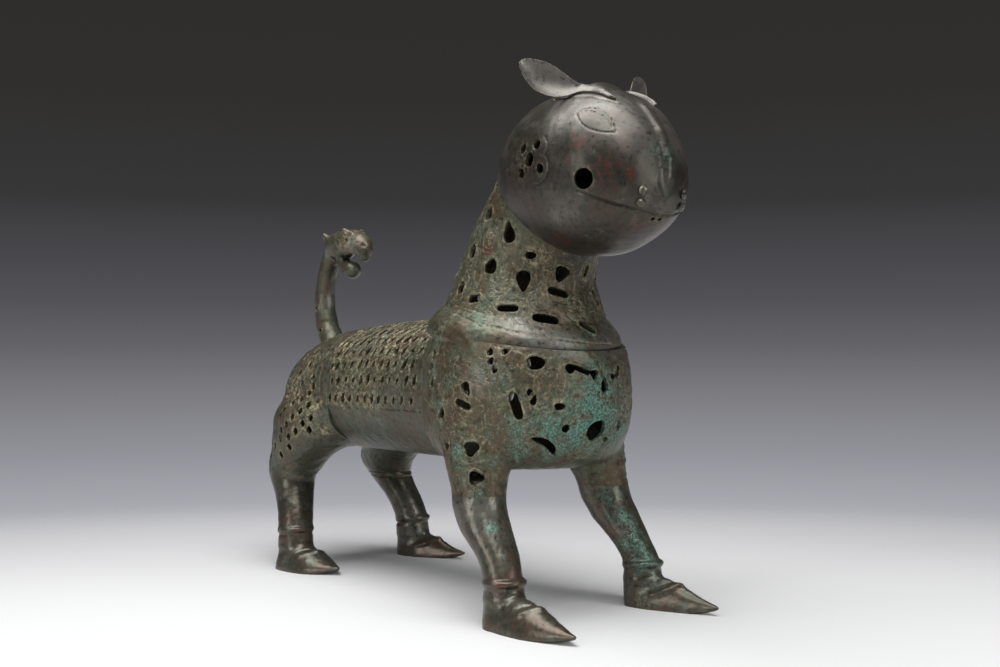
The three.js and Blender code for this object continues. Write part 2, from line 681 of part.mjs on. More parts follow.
const headLeaf = hingeLeaf({
  run: runTo(headStations, 0.24),
  grown: headGrown,
  hug: loft(inset(headStations, -fit - hinge.leafThick, -fit - hinge.leafThick, 0), facets.round, facets.head),
  spans: middleSpan,
  gaps: outerSpans,
  farSide: beyond(seam.x, seam.z, seam.tilt + 180, -2 * fit),
  rivets: headRivets,
});

// Where a muzzle stud sits, on one side of the head
function studPlace({ share, angle }, side) {
  return skinPlace(headStations, share, side * THREE.MathUtils.degToRad(angle));
}

function studSolid({ skin, outward }) {
  const low = fit + stud.stand;
  const profile = [
    new THREE.Vector2(0, -stud.length),
    new THREE.Vector2(stud.shank, -stud.length),
    new THREE.Vector2(stud.shank, low),
    new THREE.Vector2(stud.radius, low),
    new THREE.Vector2(stud.radius * 0.72, low + stud.height * 0.75),
    new THREE.Vector2(0, low + stud.height),
  ];
  const geometry = new THREE.LatheGeometry(profile, 10);
  geometry.applyQuaternion(new THREE.Quaternion().setFromUnitVectors(new THREE.Vector3(0, 1, 0), outward));
  geometry.translate(skin.x, skin.y, skin.z);
  return solidOf(geometry);
}

function studBore(place) {
  return bore(place, stud.shank + fit, 10);
}

const studPlaces = studs.flatMap((one) => [[-1, 'right'], [1, 'left']].map(([side, word]) => (
  { name: `${one.name}_${word}`, ...studPlace(one, side) }
)));

// Neck and head shells
const neckShell = joined([neckSkin.subtract(seamPlane), loft(collarBead, facets.round, 1)])
  .intersect(beyond(collar.x, collar.z, collar.tilt, fit))
  .subtract(neckCore)
  .subtract(joined([
    ...ringOfHoles(neckStations, neckHoles),
    ...neckRivets.map(rivetBore),
  ]));

const headCore = loft(inset(headStations, wall, wall, -wall), facets.round, facets.head);
const headFront = beyond(seam.x, seam.z, seam.tilt, fit);
const faceHoles = [-1, 1].flatMap((side) => [mouthHole, rosetteHole].map(({ ahead, up, radius }) => {
  const inner = new THREE.Vector3(head.x + ahead, side * (head.halfWidth - 24), head.z + up);
  const outer = new THREE.Vector3(head.x + ahead, side * (head.halfWidth + 20), head.z + up);
  return bar(inner, outer, radius, 10);
}));
const crown = head.z + head.rise;
const noseRidge = loft([
  station(head.front - 38, 0, crown - 11, 128, 5, 5, 6),
  station(head.front - 20, 0, crown - 22, 134, 6, 4, 5),
  station(head.front - 6, 0, crown - 39, 152, 7, 3.5, 5),
  station(head.front + 1, 0, crown - 53, 160, 8, 3, 6.5),
  station(head.front + 3, 0, crown - 63, 170, 5, 1, 5),
], 8, 6);
const crest = loft([
  station(head.x - 3, 0, crown - 5, 90, 8, 3, 10),
  station(head.x + 11, 0, crown - 3, 92, 8, 5.5, 12),
  station(head.x + 27, 0, crown - 9, 100, 8, 2, 9),
], facets.small, 4);
const headShell = joined([headSkin, noseRidge, crest])
  .intersect(headFront)
  .subtract(headCore)
  .subtract(joined([...faceHoles, ...headRivets.map(rivetBore), ...studPlaces.map(studBore)]));

// Ember pan on the breast's floor
const panFloor = pot.floor + wall + fit;
const panProfile = [
  new THREE.Vector2(0, 0),
  new THREE.Vector2(pan.foot, 0),
  new THREE.Vector2(pan.radius - 4, pan.height * 0.35),
  new THREE.Vector2(pan.radius, pan.height),
  new THREE.Vector2(pan.radius - pan.wall, pan.height),
  new THREE.Vector2(pan.radius - 4 - pan.wall, pan.height * 0.4),
  new THREE.Vector2(pan.foot - 1, pan.wall),
  new THREE.Vector2(0, pan.wall),
];
const panGeometry = new THREE.LatheGeometry(panProfile, 24);
panGeometry.rotateX(Math.PI / 2);
panGeometry.translate(pot.x, 0, panFloor);

// Tail with its tenon through the rump, and the key that holds it from inside
const keyAt = tail.z - key.below;
const keyLine = [-1, 1].map((side) => new THREE.Vector3(tail.x, side * key.halfLength, keyAt));
const tenon = bar(
  new THREE.Vector3(tail.x, 0, tail.z - tail.tenon),
  new THREE.Vector3(tail.x, 0, tail.z + 8),
  tail.tenonRadius,
  12,
);
const rumpGrown = loft(inset(rumpStations, -fit, -fit, 0), facets.round, facets.rump);
const tailSolid = joined([joined([tailStem(), tailBeast()]).subtract(rumpGrown), tenon])
  .subtract(bar(keyLine[0], keyLine[1], key.radius + fit, 8));

add('rump_shell', rumpShell, darkBronze);
add('barrel_shell', barrelShell, darkBronze);
add('breast_shell', breastShell, greenBronze);
add('neck_shell', neckShell, greenBronze);
add('hind_leg_left', lowerLeg(hindStations, hind), darkBronze);
add('hind_leg_right', lowerLeg(mirrored(hindStations), hind), darkBronze);
add('fore_leg_left', lowerLeg(foreStations, fore), darkBronze);
add('fore_leg_right', lowerLeg(mirrored(foreStations), fore), darkBronze);
add('tail', tailSolid, darkBronze);
add('tail_key', bar(keyLine[0], keyLine[1], key.radius, 8), iron);
add('ember_pan', solidOf(panGeometry), iron);
add('neck_hinge_leaf', neckLeaf, darkBronze);
neckRivets.forEach((place, i) => add(`neck_leaf_rivet_${i + 1}`, rivetSolid(place), iron));
const pinHalf = hinge.leafWidth / 2 + hinge.pinEnd;
add('hinge_pin', hingeSleeve(-pinHalf, pinHalf, hinge.pin), iron);
add('head_shell', headShell, headBronze);
add('head_hinge_leaf', headLeaf, darkBronze);
headRivets.forEach((place, i) => add(`head_leaf_rivet_${i + 1}`, rivetSolid(place), iron));
add('ear_left', ear(1, headGrown), headBronze);
add('ear_right', ear(-1, headGrown), headBronze);
studPlaces.forEach((place) => add(place.name, studSolid(place), iron));

// The origin is on the ground below the middle of the whole lion
const extent = new THREE.Box3().setFromObject(lion);
lion.position.x = -(extent.min.x + extent.max.x) / 2;

export default lion;
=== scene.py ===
# A hollow cast-bronze lion, an openwork incense burner with a hinged head, on a pale studio floor.
# Lengths are millimetres in the lion's own frame, nose towards +X, until a mesh is made in metres.
import math
import bmesh
import bpy
import numpy as np
from mathutils import Matrix, Vector
from mathutils.bvhtree import BVHTree
from mathutils.kdtree import KDTree


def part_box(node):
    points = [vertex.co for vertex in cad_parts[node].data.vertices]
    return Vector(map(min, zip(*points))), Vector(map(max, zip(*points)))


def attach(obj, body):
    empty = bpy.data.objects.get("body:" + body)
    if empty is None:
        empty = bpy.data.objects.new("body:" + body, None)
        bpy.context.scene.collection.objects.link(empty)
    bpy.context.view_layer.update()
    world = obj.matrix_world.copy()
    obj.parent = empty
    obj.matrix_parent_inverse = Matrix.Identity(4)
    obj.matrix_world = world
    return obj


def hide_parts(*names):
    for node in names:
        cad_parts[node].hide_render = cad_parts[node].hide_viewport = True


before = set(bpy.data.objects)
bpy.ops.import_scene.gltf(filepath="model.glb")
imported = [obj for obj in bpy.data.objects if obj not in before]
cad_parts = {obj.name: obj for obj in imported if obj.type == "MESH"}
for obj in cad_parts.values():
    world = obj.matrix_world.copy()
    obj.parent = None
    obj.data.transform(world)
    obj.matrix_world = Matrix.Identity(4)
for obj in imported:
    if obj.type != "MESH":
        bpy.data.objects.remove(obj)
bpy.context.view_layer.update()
scene = bpy.context.scene
scene.view_settings.view_transform = "Standard"
print("frame loaded")

millimetre = 0.001
wall = 2.5
fit = 0.3

# The lion's own zero lies between its feet: the ember pan, on the breast's upright line, shows where
potLine = 62.5
panLow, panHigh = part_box("ember_pan")
lionAhead = (panLow.x + panHigh.x) / 2 / millimetre - potLine


def toFrame(points):
    moved = np.array(points, float).reshape(-1, 3) + (lionAhead, 0, 0)
    return moved * millimetre


# Camera: where the photograph was taken from, in millimetres and degrees; nearest and farthest are metres
camera = {
    "place": (751.9, -554.2, 175.0),
    "heading": (-0.7922, 0.6103),
    "pitch": 0.507,
    "lens": 46.8,
    "sensor": 36.0,
    "wide": 1000,
    "high": 667,
    "nearest": 0.02,
    "farthest": 40,
}
pitch = math.radians(camera["pitch"])
viewAhead = Vector((
    camera["heading"][0] * math.cos(pitch),
    camera["heading"][1] * math.cos(pitch),
    math.sin(pitch),
)).normalized()
viewRight = viewAhead.cross(Vector((0, 0, 1))).normalized()
viewUp = viewRight.cross(viewAhead)
focal = camera["lens"] / camera["sensor"] * camera["wide"]


def makeCamera():
    data = bpy.data.cameras.new("camera")
    data.lens = camera["lens"]
    data.sensor_width = camera["sensor"]
    data.clip_start = camera["nearest"]
    data.clip_end = camera["farthest"]
    made = bpy.data.objects.new("camera", data)
    made.matrix_world = Matrix.Translation(toFrame(camera["place"])[0]) @ (
        viewAhead.to_track_quat("-Z", "Y").to_matrix().to_4x4()
    )
    scene.collection.objects.link(made)
    scene.camera = made


# The way from the camera through a pixel of the photograph
def sightLine(px, py):
    across = (px - camera["wide"] / 2) / focal
    down = (py - camera["high"] / 2) / focal
    return (viewAhead + viewRight * across - viewUp * down).normalized()


makeCamera()
print("camera placed")


# Nodes as expressions: a value or colour link that can be added, multiplied and so on
class Link:
    def __init__(self, shader, socket):
        self.shader = shader
        self.socket = socket

    def maths(self, operation, *others):
        return self.shader.node("ShaderNodeMath", {"operation": operation}, (self, *others))

    def __add__(self, other):
        return self.maths("ADD", other)

    def __radd__(self, other):
        return self.maths("ADD", other)

    def __sub__(self, other):
        return self.maths("SUBTRACT", other)

    def __rsub__(self, other):
        return self.shader.node("ShaderNodeMath", {"operation": "SUBTRACT"}, (other, self))

    def __mul__(self, other):
        return self.maths("MULTIPLY", other)

    def __rmul__(self, other):
        return self.maths("MULTIPLY", other)

    def clamped(self):
        return self.shader.node("ShaderNodeMath", {"operation": "ADD", "use_clamp": True}, (self, 0.0))


class Shader:
    def __init__(self, name):
        self.material = bpy.data.materials.new(name)
        self.material.use_nodes = True
        self.tree = self.material.node_tree
        self.tree.nodes.clear()

    # One node: its settings first, then its sockets by position or by name
    def node(self, kind, settings=None, inputs=(), out=0):
        made = self.tree.nodes.new(kind)
        for key, value in (settings or {}).items():
            setattr(made, key, value)
        pairs = inputs.items() if isinstance(inputs, dict) else enumerate(inputs)
        for key, value in pairs:
            socket = made.inputs[key]
            if isinstance(value, Link):
                self.tree.links.new(value.socket, socket)
            elif isinstance(value, tuple) and socket.type == "RGBA":
                socket.default_value = (*value, 1)
            else:
                socket.default_value = value
        return Link(self, made.outputs[out]) if len(made.outputs) else None

    # Noise whose patches are about as many millimetres wide as size says
    def noise(self, place, size, detail, rough, seed):
        apart = (seed, 0.7 * seed, 0.3 * seed)
        moved = self.node("ShaderNodeVectorMath", {"operation": "ADD"}, (place, apart))
        return self.node("ShaderNodeTexNoise", {}, {
            "Vector": moved, "Scale": 1 / (size * millimetre), "Detail": detail, "Roughness": rough,
        })

    # 0 at low, 1 at high and eased between them; low may be the larger of the two
    def spread(self, value, low, high):
        return self.node("ShaderNodeMapRange", {"interpolation_type": "SMOOTHSTEP"}, {
            "Value": value, "From Min": low, "From Max": high, "To Min": 0.0, "To Max": 1.0,
        })

    def mix(self, share, first, second):
        made = self.tree.nodes.new("ShaderNodeMix")
        made.data_type = "RGBA"
        sockets = [s for s in made.inputs if s.enabled]
        for socket, value in zip(sockets, (share, first, second)):
            if isinstance(value, Link):
                self.tree.links.new(value.socket, socket)
            elif isinstance(value, tuple):
                socket.default_value = (*value, 1)
            else:
                socket.default_value = value
        return Link(self, [s for s in made.outputs if s.enabled][0])

    def attribute(self, name):
        return self.node("ShaderNodeAttribute", {"attribute_name": name}, out=2)

    def finish(self, colour, roughness, metallic, normal):
        surface = self.node("ShaderNodeBsdfPrincipled", {}, {
            "Base Color": colour, "Roughness": roughness, "Metallic": metallic, "Normal": normal,
        })
        self.node("ShaderNodeOutputMaterial", {}, {"Surface": surface})
        return self.material


# Stage: white paper sweep that turns grey towards the back
backdropTones = [  # height of the sight line above the level, in degrees, and the tone there
    (-14.5, (0.955, 0.955, 0.955)),
    (-12.0, (0.94, 0.935, 0.94)),
    (-10.4, (0.86, 0.86, 0.865)),
    (-8.8, (0.65, 0.645, 0.665)),
    (-7.0, (0.40, 0.405, 0.44)),
    (-4.6, (0.287, 0.290, 0.320)),
    (-2.4, (0.209, 0.209, 0.227)),
    (0.0, (0.126, 0.125, 0.138)),
    (2.0, (0.084, 0.082, 0.093)),
    (6.3, (0.0390, 0.0380, 0.0390)),
    (10.6, (0.0300, 0.0290, 0.0275)),
    (15.5, (0.0285, 0.0268, 0.0248)),
]
lightTone = (0.86, 0.88, 0.92)
stage = {
    "floorSize": 6.0,  # metres
    "nearTone": (0.63, 0.63, 0.63),
    "farTone": (0.555, 0.552, 0.56),
    "glow": 0.05,  # what the near paper adds to its own tone where it is seen
    "tonesFrom": 0.84,  # metres from the foot of the camera, from the near tone
    "tonesTo": 1.24,  # to the far tone
    "fadeFrom": 1.12,  # and from paper
    "fadeTo": 1.52,  # to the backdrop behind it
    "ambient": 0.2,
    "lowest": -20.0,  # degrees above the level, where the backdrop's tones begin and end
    "highest": 20.0,
}


def makeWorld():
    world = bpy.data.worlds.new("studio")
    scene.world = world
    world.use_nodes = True
    tree = world.node_tree
    tree.nodes.clear()
    make = tree.nodes.new
    join = tree.links.new
    where = make("ShaderNodeTexCoord")
    parts = make("ShaderNodeSeparateXYZ")
    join(where.outputs["Generated"], parts.inputs[0])
    rise = make("ShaderNodeMath")
    rise.operation = "ARCSINE"
    join(parts.outputs[2], rise.inputs[0])
    span = make("ShaderNodeMapRange")
    span.inputs["From Min"].default_value = math.radians(stage["lowest"])
    span.inputs["From Max"].default_value = math.radians(stage["highest"])
    join(rise.outputs[0], span.inputs["Value"])
    ramp = make("ShaderNodeValToRGB")
    elements = ramp.color_ramp.elements
    while len(elements) < len(backdropTones):
        elements.new(0.5)
    for element, (angle, tone) in zip(elements, backdropTones):
        element.position = (angle - stage["lowest"]) / (stage["highest"] - stage["lowest"])
        element.color = (*tone, 1)
    join(span.outputs[0], ramp.inputs[0])
    seen = make("ShaderNodeBackground")
    join(ramp.outputs[0], seen.inputs[0])
    light = make("ShaderNodeBackground")
    light.inputs[0].default_value = (*lightTone, 1)
    light.inputs[1].default_value = stage["ambient"]
    path = make("ShaderNodeLightPath")
    shown = path.outputs["Is Camera Ray"]
    for other in ("Is Glossy Ray", "Is Transmission Ray"):
        either = make("ShaderNodeMath")
        either.use_clamp = True
        join(shown, either.inputs[0])
        join(path.outputs[other], either.inputs[1])
        shown = either.outputs[0]
    mixed = make("ShaderNodeMixShader")
    join(shown, mixed.inputs[0])
    join(light.outputs[0], mixed.inputs[1])
    join(seen.outputs[0], mixed.inputs[2])
    out = make("ShaderNodeOutputWorld")
    join(mixed.outputs[0], out.inputs[0])


def makeFloor():
    half = stage["floorSize"] / 2
    mesh = bpy.data.meshes.new("floor")
    corners = [(-half, -half, 0), (half, -half, 0), (half, half, 0), (-half, half, 0)]
    mesh.from_pydata(corners, [], [(0, 1, 2, 3)])
    floor = bpy.data.objects.new("floor", mesh)
    scene.collection.objects.link(floor)
    shader = Shader("floor_paper")
    place = shader.node("ShaderNodeTexCoord", out=3)
    foot = Vector(toFrame((camera["place"][0], camera["place"][1], 0))[0])
    fromFoot = shader.node("ShaderNodeVectorMath", {"operation": "SUBTRACT"}, (place, tuple(foot)))
    away = shader.node("ShaderNodeVectorMath", {"operation": "LENGTH"}, (fromFoot,), out=1)
    far = shader.spread(away, stage["tonesFrom"], stage["tonesTo"])
    fade = shader.spread(away, stage["fadeFrom"], stage["fadeTo"])
    seen, glossy, through = (shader.node("ShaderNodeLightPath", out=kind) for kind in (0, 3, 6))
    seen = (seen + glossy + through).clamped()
    tone = shader.mix(far, stage["nearTone"], stage["farTone"])
    diffuse = shader.node("ShaderNodeBsdfDiffuse", {}, {"Color": tone})
    glow = shader.node("ShaderNodeEmission", {}, {"Strength": seen * (1.0 - far) * stage["glow"]})
    paper = shader.node("ShaderNodeAddShader", {}, (diffuse, glow))
    clear = shader.node("ShaderNodeBsdfTransparent")
    both = shader.node("ShaderNodeMixShader", {}, (fade, paper, clear))
    shader.node("ShaderNodeOutputMaterial", {}, {"Surface": both})
    mesh.materials.append(shader.material)


# Where each lamp stands and what it aims at, its two sides, and its strength
lamps = {
    "overhead": {"place": (120, -240, 1150), "aim": (50, 0, 200), "size": (1200, 900), "watts": 20.0},
    "cameraLeft": {"place": (120, -1150, 480), "aim": (60, 0, 150), "size": (300, 420), "watts": 2.9},
    "cameraRight": {"place": (1150, 320, 480), "aim": (100, 0, 180), "size": (380, 480), "watts": 3.3},
}


def makeLamps():
    for name, lamp in lamps.items():
        data = bpy.data.lights.new(name, "AREA")
        data.shape = "RECTANGLE"
        data.size, data.size_y = (side * millimetre for side in lamp["size"])
        data.energy = lamp["watts"]
        made = bpy.data.objects.new(name, data)
        place = Vector(toFrame(lamp["place"])[0])
        aim = Vector(toFrame(lamp["aim"])[0])
        made.matrix_world = Matrix.Translation(place) @ (
            (aim - place).to_track_quat("-Z", "Y").to_matrix().to_4x4()
        )
        scene.collection.objects.link(made)


makeWorld()
makeFloor()
makeLamps()
print("stage set")


loftSteps = 240
farOut = 60.0  # what an empty block of clay holds, in millimetres outside
noHole = 99.0


# A loft runs through stations: x, y, z, tilt, half sizes ahead, behind and across, and squareness.
# Tilt 0 is a level section, tilt 90 an upright one that faces along the lion.
def station(x, y, z, tilt, ahead, behind, wide, square=2.0):
    return (x, y, z, tilt, ahead, behind, wide, square)


# A smooth curve from b to c, with a before them and d after them
def between(a, b, c, d, t):
    bend = 2 * a - 5 * b + 4 * c - d
    return 0.5 * (2 * b + (c - a) * t + bend * t * t + (3 * b - a - 3 * c + d) * t ** 3)


def splined(rows, count=loftSteps + 1):
    rows = np.array(rows, float)
    share = np.linspace(0, len(rows) - 1, count)
    first = np.minimum(share.astype(int), len(rows) - 2)
    t = (share - first)[:, None]
    return between(*(rows[np.clip(first + k, 0, len(rows) - 1)] for k in (-1, 0, 1, 2)), t)


def mirrored(rows):
    return [(row[0], -row[1], *row[2:]) for row in rows]


# Clay: a block of space whose field is below zero inside the shape. Forms are added with soft joins,
# and the skin is drawn where the field crosses zero.
class Clay:
    def __init__(self, low, high, pitch):
        self.pitch = pitch
        self.low = np.array(low, float)
        self.axes = [np.arange(a, b + pitch, pitch) for a, b in zip(low, high)]
        self.shape = tuple(len(axis) for axis in self.axes)
        self.field = np.full(self.shape, farOut, np.float32)

    def add(self, form, blend=0.0):
        if blend:
            share = np.clip(0.5 + 0.5 * (form - self.field) / blend, 0, 1)
            self.field = form + (self.field - form) * share - blend * share * (1 - share)
        else:
            self.field = np.minimum(self.field, form)
        return self

    def cut(self, form, blend=0.0):
        if blend:
            share = np.clip(0.5 - 0.5 * (form + self.field) / blend, 0, 1)
            self.field = self.field + (-form - self.field) * share + blend * share * (1 - share)
        else:
            self.field = np.maximum(self.field, -form)
        return self

    def keep(self, form):
        self.field = np.maximum(self.field, form)
        return self

    # The space inside a loft, grown or shrunk all round; ends are how far it runs on beyond its two ends
    def loft(self, rows, grow=0.0, ends=None):
        s = splined(rows)
        x, y, z = self.axes
        tilt = np.radians(s[:, 3])
        px = x[:, None]
        pz = z[None, :]
        above = (
            (px[..., None] - s[:, 0]) * np.sin(tilt) + (pz[..., None] - s[:, 2]) * np.cos(tilt)
        )
        index = np.clip((above >= 0).sum(-1) - 1, 0, len(s) - 2)
        here = np.take_along_axis(above, index[..., None], -1)[..., 0]
        after = np.take_along_axis(above, index[..., None] + 1, -1)[..., 0]
        share = np.clip(here / np.where(here - after == 0, 1, here - after), 0, 1)[..., None]
        row = s[index] * (1 - share) + s[index + 1] * share
        turn = np.radians(row[..., 3])
        ahead = (px - row[..., 0]) * np.cos(turn) - (pz - row[..., 2]) * np.sin(turn)
        ahead = ahead[:, None, :].astype(np.float32)
        across = (y[None, :, None] - row[:, None, :, 1]).astype(np.float32)
        long = np.where(ahead > 0, row[:, None, :, 4], row[:, None, :, 5]) + grow
        wide = row[:, None, :, 6] + grow
        long = np.maximum(long, 0.05).astype(np.float32)
        wide = np.maximum(wide, 0.05).astype(np.float32)
        reach = np.hypot(ahead, across) + 1e-4
        if np.all(s[:, 7] == 2.0):
            ratio = np.hypot(ahead / long, across / wide)
        else:
            power = row[:, None, :, 7].astype(np.float32)
            ratio = (np.abs(ahead / long) ** power + np.abs(across / wide) ** power) ** (1 / power)
        side = reach - reach / np.maximum(ratio, 1e-4)
        first, last = (grow, grow) if ends is None else ends
        below = (-above[..., 0] - first)[:, None, :]
        beyond = (above[..., -1] - last)[:, None, :]
        return np.maximum(side, np.maximum(below, beyond)).astype(np.float32)

    # Outside on the side that the normal points to
    def plane(self, point, normal):
        a, b, c = np.array(normal, float) / np.linalg.norm(normal)
        x, y, z = (axis - p for axis, p in zip(self.axes, point))
        return (x[:, None, None] * a + y[None, :, None] * b + z[None, None, :] * c).astype(np.float32)

    # A bent round bar through points, with a radius at each; it may be narrower across the lion
    def tube(self, points, radii, flatten=1.0, around=14):
        points = np.array(points, float)
        reach = max(radii) * max(1.0, 1 / flatten) + around
        low = points.min(0) - reach
        high = points.max(0) + reach
        spans = [slice(*np.searchsorted(axis, (a, b))) for axis, a, b in zip(self.axes, low, high)]
        x, y, z = (axis[span] for axis, span in zip(self.axes, spans))
        whole = np.full(self.shape, farOut, np.float32)
        best = np.full((len(x), len(y), len(z)), farOut, np.float32)
        p = [x[:, None, None], y[None, :, None], z[None, None, :]]
        for a, b, ra, rb in zip(points[:-1], points[1:], radii[:-1], radii[1:]):
            run = b - a
            rel = [p[i] - a[i] for i in range(3)]
            t = np.clip(sum(rel[i] * run[i] for i in range(3)) / (run @ run), 0, 1)
            off = [rel[i] - t * run[i] for i in range(3)]
            away = np.sqrt(off[0] ** 2 + (off[1] / flatten) ** 2 + off[2] ** 2)
            best = np.minimum(best, away - (ra + (rb - ra) * t))
        whole[tuple(spans)] = best
        return whole

    def ball(self, centre, radii):
        x, y, z = (axis - c for axis, c in zip(self.axes, centre))
        squared = (
            (x[:, None, None] / radii[0]) ** 2 + (y[None, :, None] / radii[1]) ** 2
            + (z[None, None, :] / radii[2]) ** 2
        )
        return ((np.sqrt(squared) - 1) * min(radii)).astype(np.float32)

    # Surface nets: one vertex in each cell that the skin passes through, one quad for each edge it cuts
    def skin(self, relax=2):
        f = self.field
        f[[0, -1]] = np.maximum(f[[0, -1]], 1)
        f[:, [0, -1]] = np.maximum(f[:, [0, -1]], 1)
        f[:, :, [0, -1]] = np.maximum(f[:, :, [0, -1]], 1)
        inside = f < 0
        nx, ny, nz = (n - 1 for n in self.shape)
        corners = sum(
            inside[i:nx + i, j:ny + j, k:nz + k].astype(np.int8)
            for i in (0, 1) for j in (0, 1) for k in (0, 1)
        )
        active = (corners > 0) & (corners < 8)
        cells = np.argwhere(active)
        number = np.full(active.shape, -1, np.int64)
        number[active] = np.arange(len(cells))
        total = np.zeros((len(cells), 3))
        count = np.zeros(len(cells))
        unit = np.eye(3, dtype=int)
        for d in range(3):
            others = [k for k in range(3) if k != d]
            for i in (0, 1):
                for j in (0, 1):
                    offset = i * unit[others[0]] + j * unit[others[1]]
                    a = f[tuple((cells + offset).T)]
                    b = f[tuple((cells + offset + unit[d]).T)]
                    crossed = (a < 0) != (b < 0)
                    t = np.where(crossed, a / np.where(a == b, 1, a - b), 0)
                    total += np.where(crossed[:, None], offset + t[:, None] * unit[d], 0)
                    count += crossed
        verts = cells + total / count[:, None]
        quads = []
        for d in range(3):
            u, v = unit[(d + 1) % 3], unit[(d + 2) % 3]
            upper = tuple(slice(1, None) if k == d else slice(None) for k in range(3))
            lower = tuple(slice(None, -1) if k == d else slice(None) for k in range(3))
            a, b = inside[lower], inside[upper]
            for rising in (False, True):
                crossing = np.argwhere((b & ~a) if rising else (a & ~b))
                ring = [crossing, crossing - u, crossing - u - v, crossing - v]
                if rising:
                    ring = ring[::-1]
                quads.append(np.stack([number[tuple(c.T)] for c in ring], -1))
        quads = np.concatenate(quads)
        verts = self.low + verts * self.pitch
        for _ in range(relax):
            verts = relaxed(verts, quads)
        return verts, quads


# Moves each vertex halfway to the middle of its neighbours
def relaxed(verts, quads, strength=0.5):
    first = quads.ravel()
    after = np.roll(quads, -1, 1).ravel()
    ends = np.concatenate([first, after])
    starts = np.concatenate([after, first])
    count = np.bincount(ends, minlength=len(verts))
    middle = np.stack([
        np.bincount(ends, weights=verts[starts, k], minlength=len(verts)) for k in range(3)
    ], -1) / np.maximum(count, 1)[:, None]
    return verts + strength * (middle - verts)


def vertexNormals(verts, quads):
    corner = verts[quads]
    face = np.cross(corner[:, 2] - corner[:, 0], corner[:, 3] - corner[:, 1])
    normal = np.stack([
        np.bincount(quads.ravel(), weights=np.repeat(face[:, k], quads.shape[1]), minlength=len(verts))
        for k in range(3)
    ], -1)
    return normal / np.maximum(np.linalg.norm(normal, axis=1), 1e-9)[:, None]


# An object from millimetres in the lion's own frame
def meshObject(name, verts, faces):
    mesh = bpy.data.meshes.new(name)
    mesh.from_pydata(toFrame(verts), [], np.asarray(faces).tolist())
    mesh.validate()
    made = bpy.data.objects.new(name, mesh)
    scene.collection.objects.link(made)
    return made


# Openwork: each kind of hole has one outline, about one unit long and one wide; the hook is the last
def outlineOf(kind, points=24):
    turn = np.linspace(0, 2 * math.pi, points, endpoint=False)
    c, s = np.cos(turn), np.sin(turn)
    if kind == "round":
        return np.stack([0.5 * c, 0.5 * s], -1)
    if kind == "oval":
        wobble = 1 + 0.05 * np.sin(3 * turn + 1) + 0.03 * np.sin(5 * turn)
        return np.stack([0.5 * c * wobble, 0.5 * s * wobble], -1)
    if kind == "drop":
        return np.stack([0.5 * c, 0.5 * s * (1 - 0.55 * (c + 1) / 2) * np.sqrt(1.25 - 0.45 * c)], -1)
    if kind == "slot":
        x = 0.5 * np.sign(c) * np.abs(c) ** 0.6
        return np.stack([x, 0.5 * s * (1 + 0.10 * np.cos(2 * turn + 0.4)) / 1.1], -1)
    if kind == "lozenge":
        return np.stack([0.5 * np.sign(c) * np.abs(c) ** 1.35, 0.5 * np.sign(s) * np.abs(s) ** 1.35], -1)
    if kind == "heart":
        wobble = 1 + 0.14 * np.cos(3 * turn)
        return np.stack([0.46 * c * wobble, 0.5 * s * wobble], -1)
    x = 0.5 * np.sign(c) * np.abs(c) ** 0.7
    return np.stack([x, 0.24 * s * (1 + 0.25 * c) + 0.55 * (0.5 - 2 * x ** 2)], -1)


holeKinds = ("round", "oval", "drop", "slot", "lozenge", "heart", "hook")


# A cutter for each outline, one unit to either side of the skin
def cutterPrisms():
    prisms = {}
    for kind in holeKinds:
        outline = outlineOf(kind)
        count = len(outline)
        low = [(x, y, -1) for x, y in outline]
        high = [(x, y, 1) for x, y in outline]
        sides = [(i, (i + 1) % count, count + (i + 1) % count, count + i) for i in range(count)]
        mesh = bpy.data.meshes.new("cutter_" + kind)
        mesh.from_pydata(
            [Vector(p) for p in low + high], [],
            [tuple(range(count))[::-1], tuple(range(count, 2 * count)), *sides],
        )
        prisms[kind] = bpy.data.objects.new("cutter_" + kind, mesh)
    return prisms


prisms = cutterPrisms()


# Geometry Nodes: one cutter or boss on each point, turned and sized by the point's own attributes
def repeatTree(material):
    tree = bpy.data.node_groups.new("repeat_on_points", "GeometryNodeTree")
    tree.interface.new_socket("Points", in_out="INPUT", socket_type="NodeSocketGeometry")
    tree.interface.new_socket("Piece", in_out="INPUT", socket_type="NodeSocketObject")
    tree.interface.new_socket("Size", in_out="INPUT", socket_type="NodeSocketFloat")
    tree.interface.new_socket("Result", in_out="OUTPUT", socket_type="NodeSocketGeometry")
    make = tree.nodes.new
    join = tree.links.new
    start = make("NodeGroupInput")
    piece = make("GeometryNodeObjectInfo")
    turn = make("GeometryNodeInputNamedAttribute")
    turn.data_type = "FLOAT_VECTOR"
    turn.inputs["Name"].default_value = "turn"
    size = make("GeometryNodeInputNamedAttribute")
    size.data_type = "FLOAT_VECTOR"
    size.inputs["Name"].default_value = "size"
    sized = make("ShaderNodeVectorMath")
    sized.operation = "SCALE"
    euler = make("FunctionNodeEulerToRotation")
    place = make("GeometryNodeInstanceOnPoints")
    real = make("GeometryNodeRealizeInstances")
    coat = make("GeometryNodeSetMaterial")
    coat.inputs["Material"].default_value = material
    end = make("NodeGroupOutput")
    join(start.outputs["Piece"], piece.inputs["Object"])
    join(start.outputs["Points"], place.inputs["Points"])
    join(piece.outputs["Geometry"], place.inputs["Instance"])
    join(turn.outputs["Attribute"], euler.inputs[0])
    join(euler.outputs[0], place.inputs["Rotation"])
    join(size.outputs["Attribute"], sized.inputs[0])
    join(start.outputs["Size"], sized.inputs["Scale"])
    join(sized.outputs[0], place.inputs["Scale"])
    join(place.outputs[0], real.inputs[0])
    join(real.outputs[0], coat.inputs["Geometry"])
    join(coat.outputs[0], end.inputs[0])
    return tree


# What an object's modifiers make of it, as a plain mesh
def evaluated(piece):
    return bpy.data.meshes.new_from_object(piece.evaluated_get(bpy.context.evaluated_depsgraph_get()))


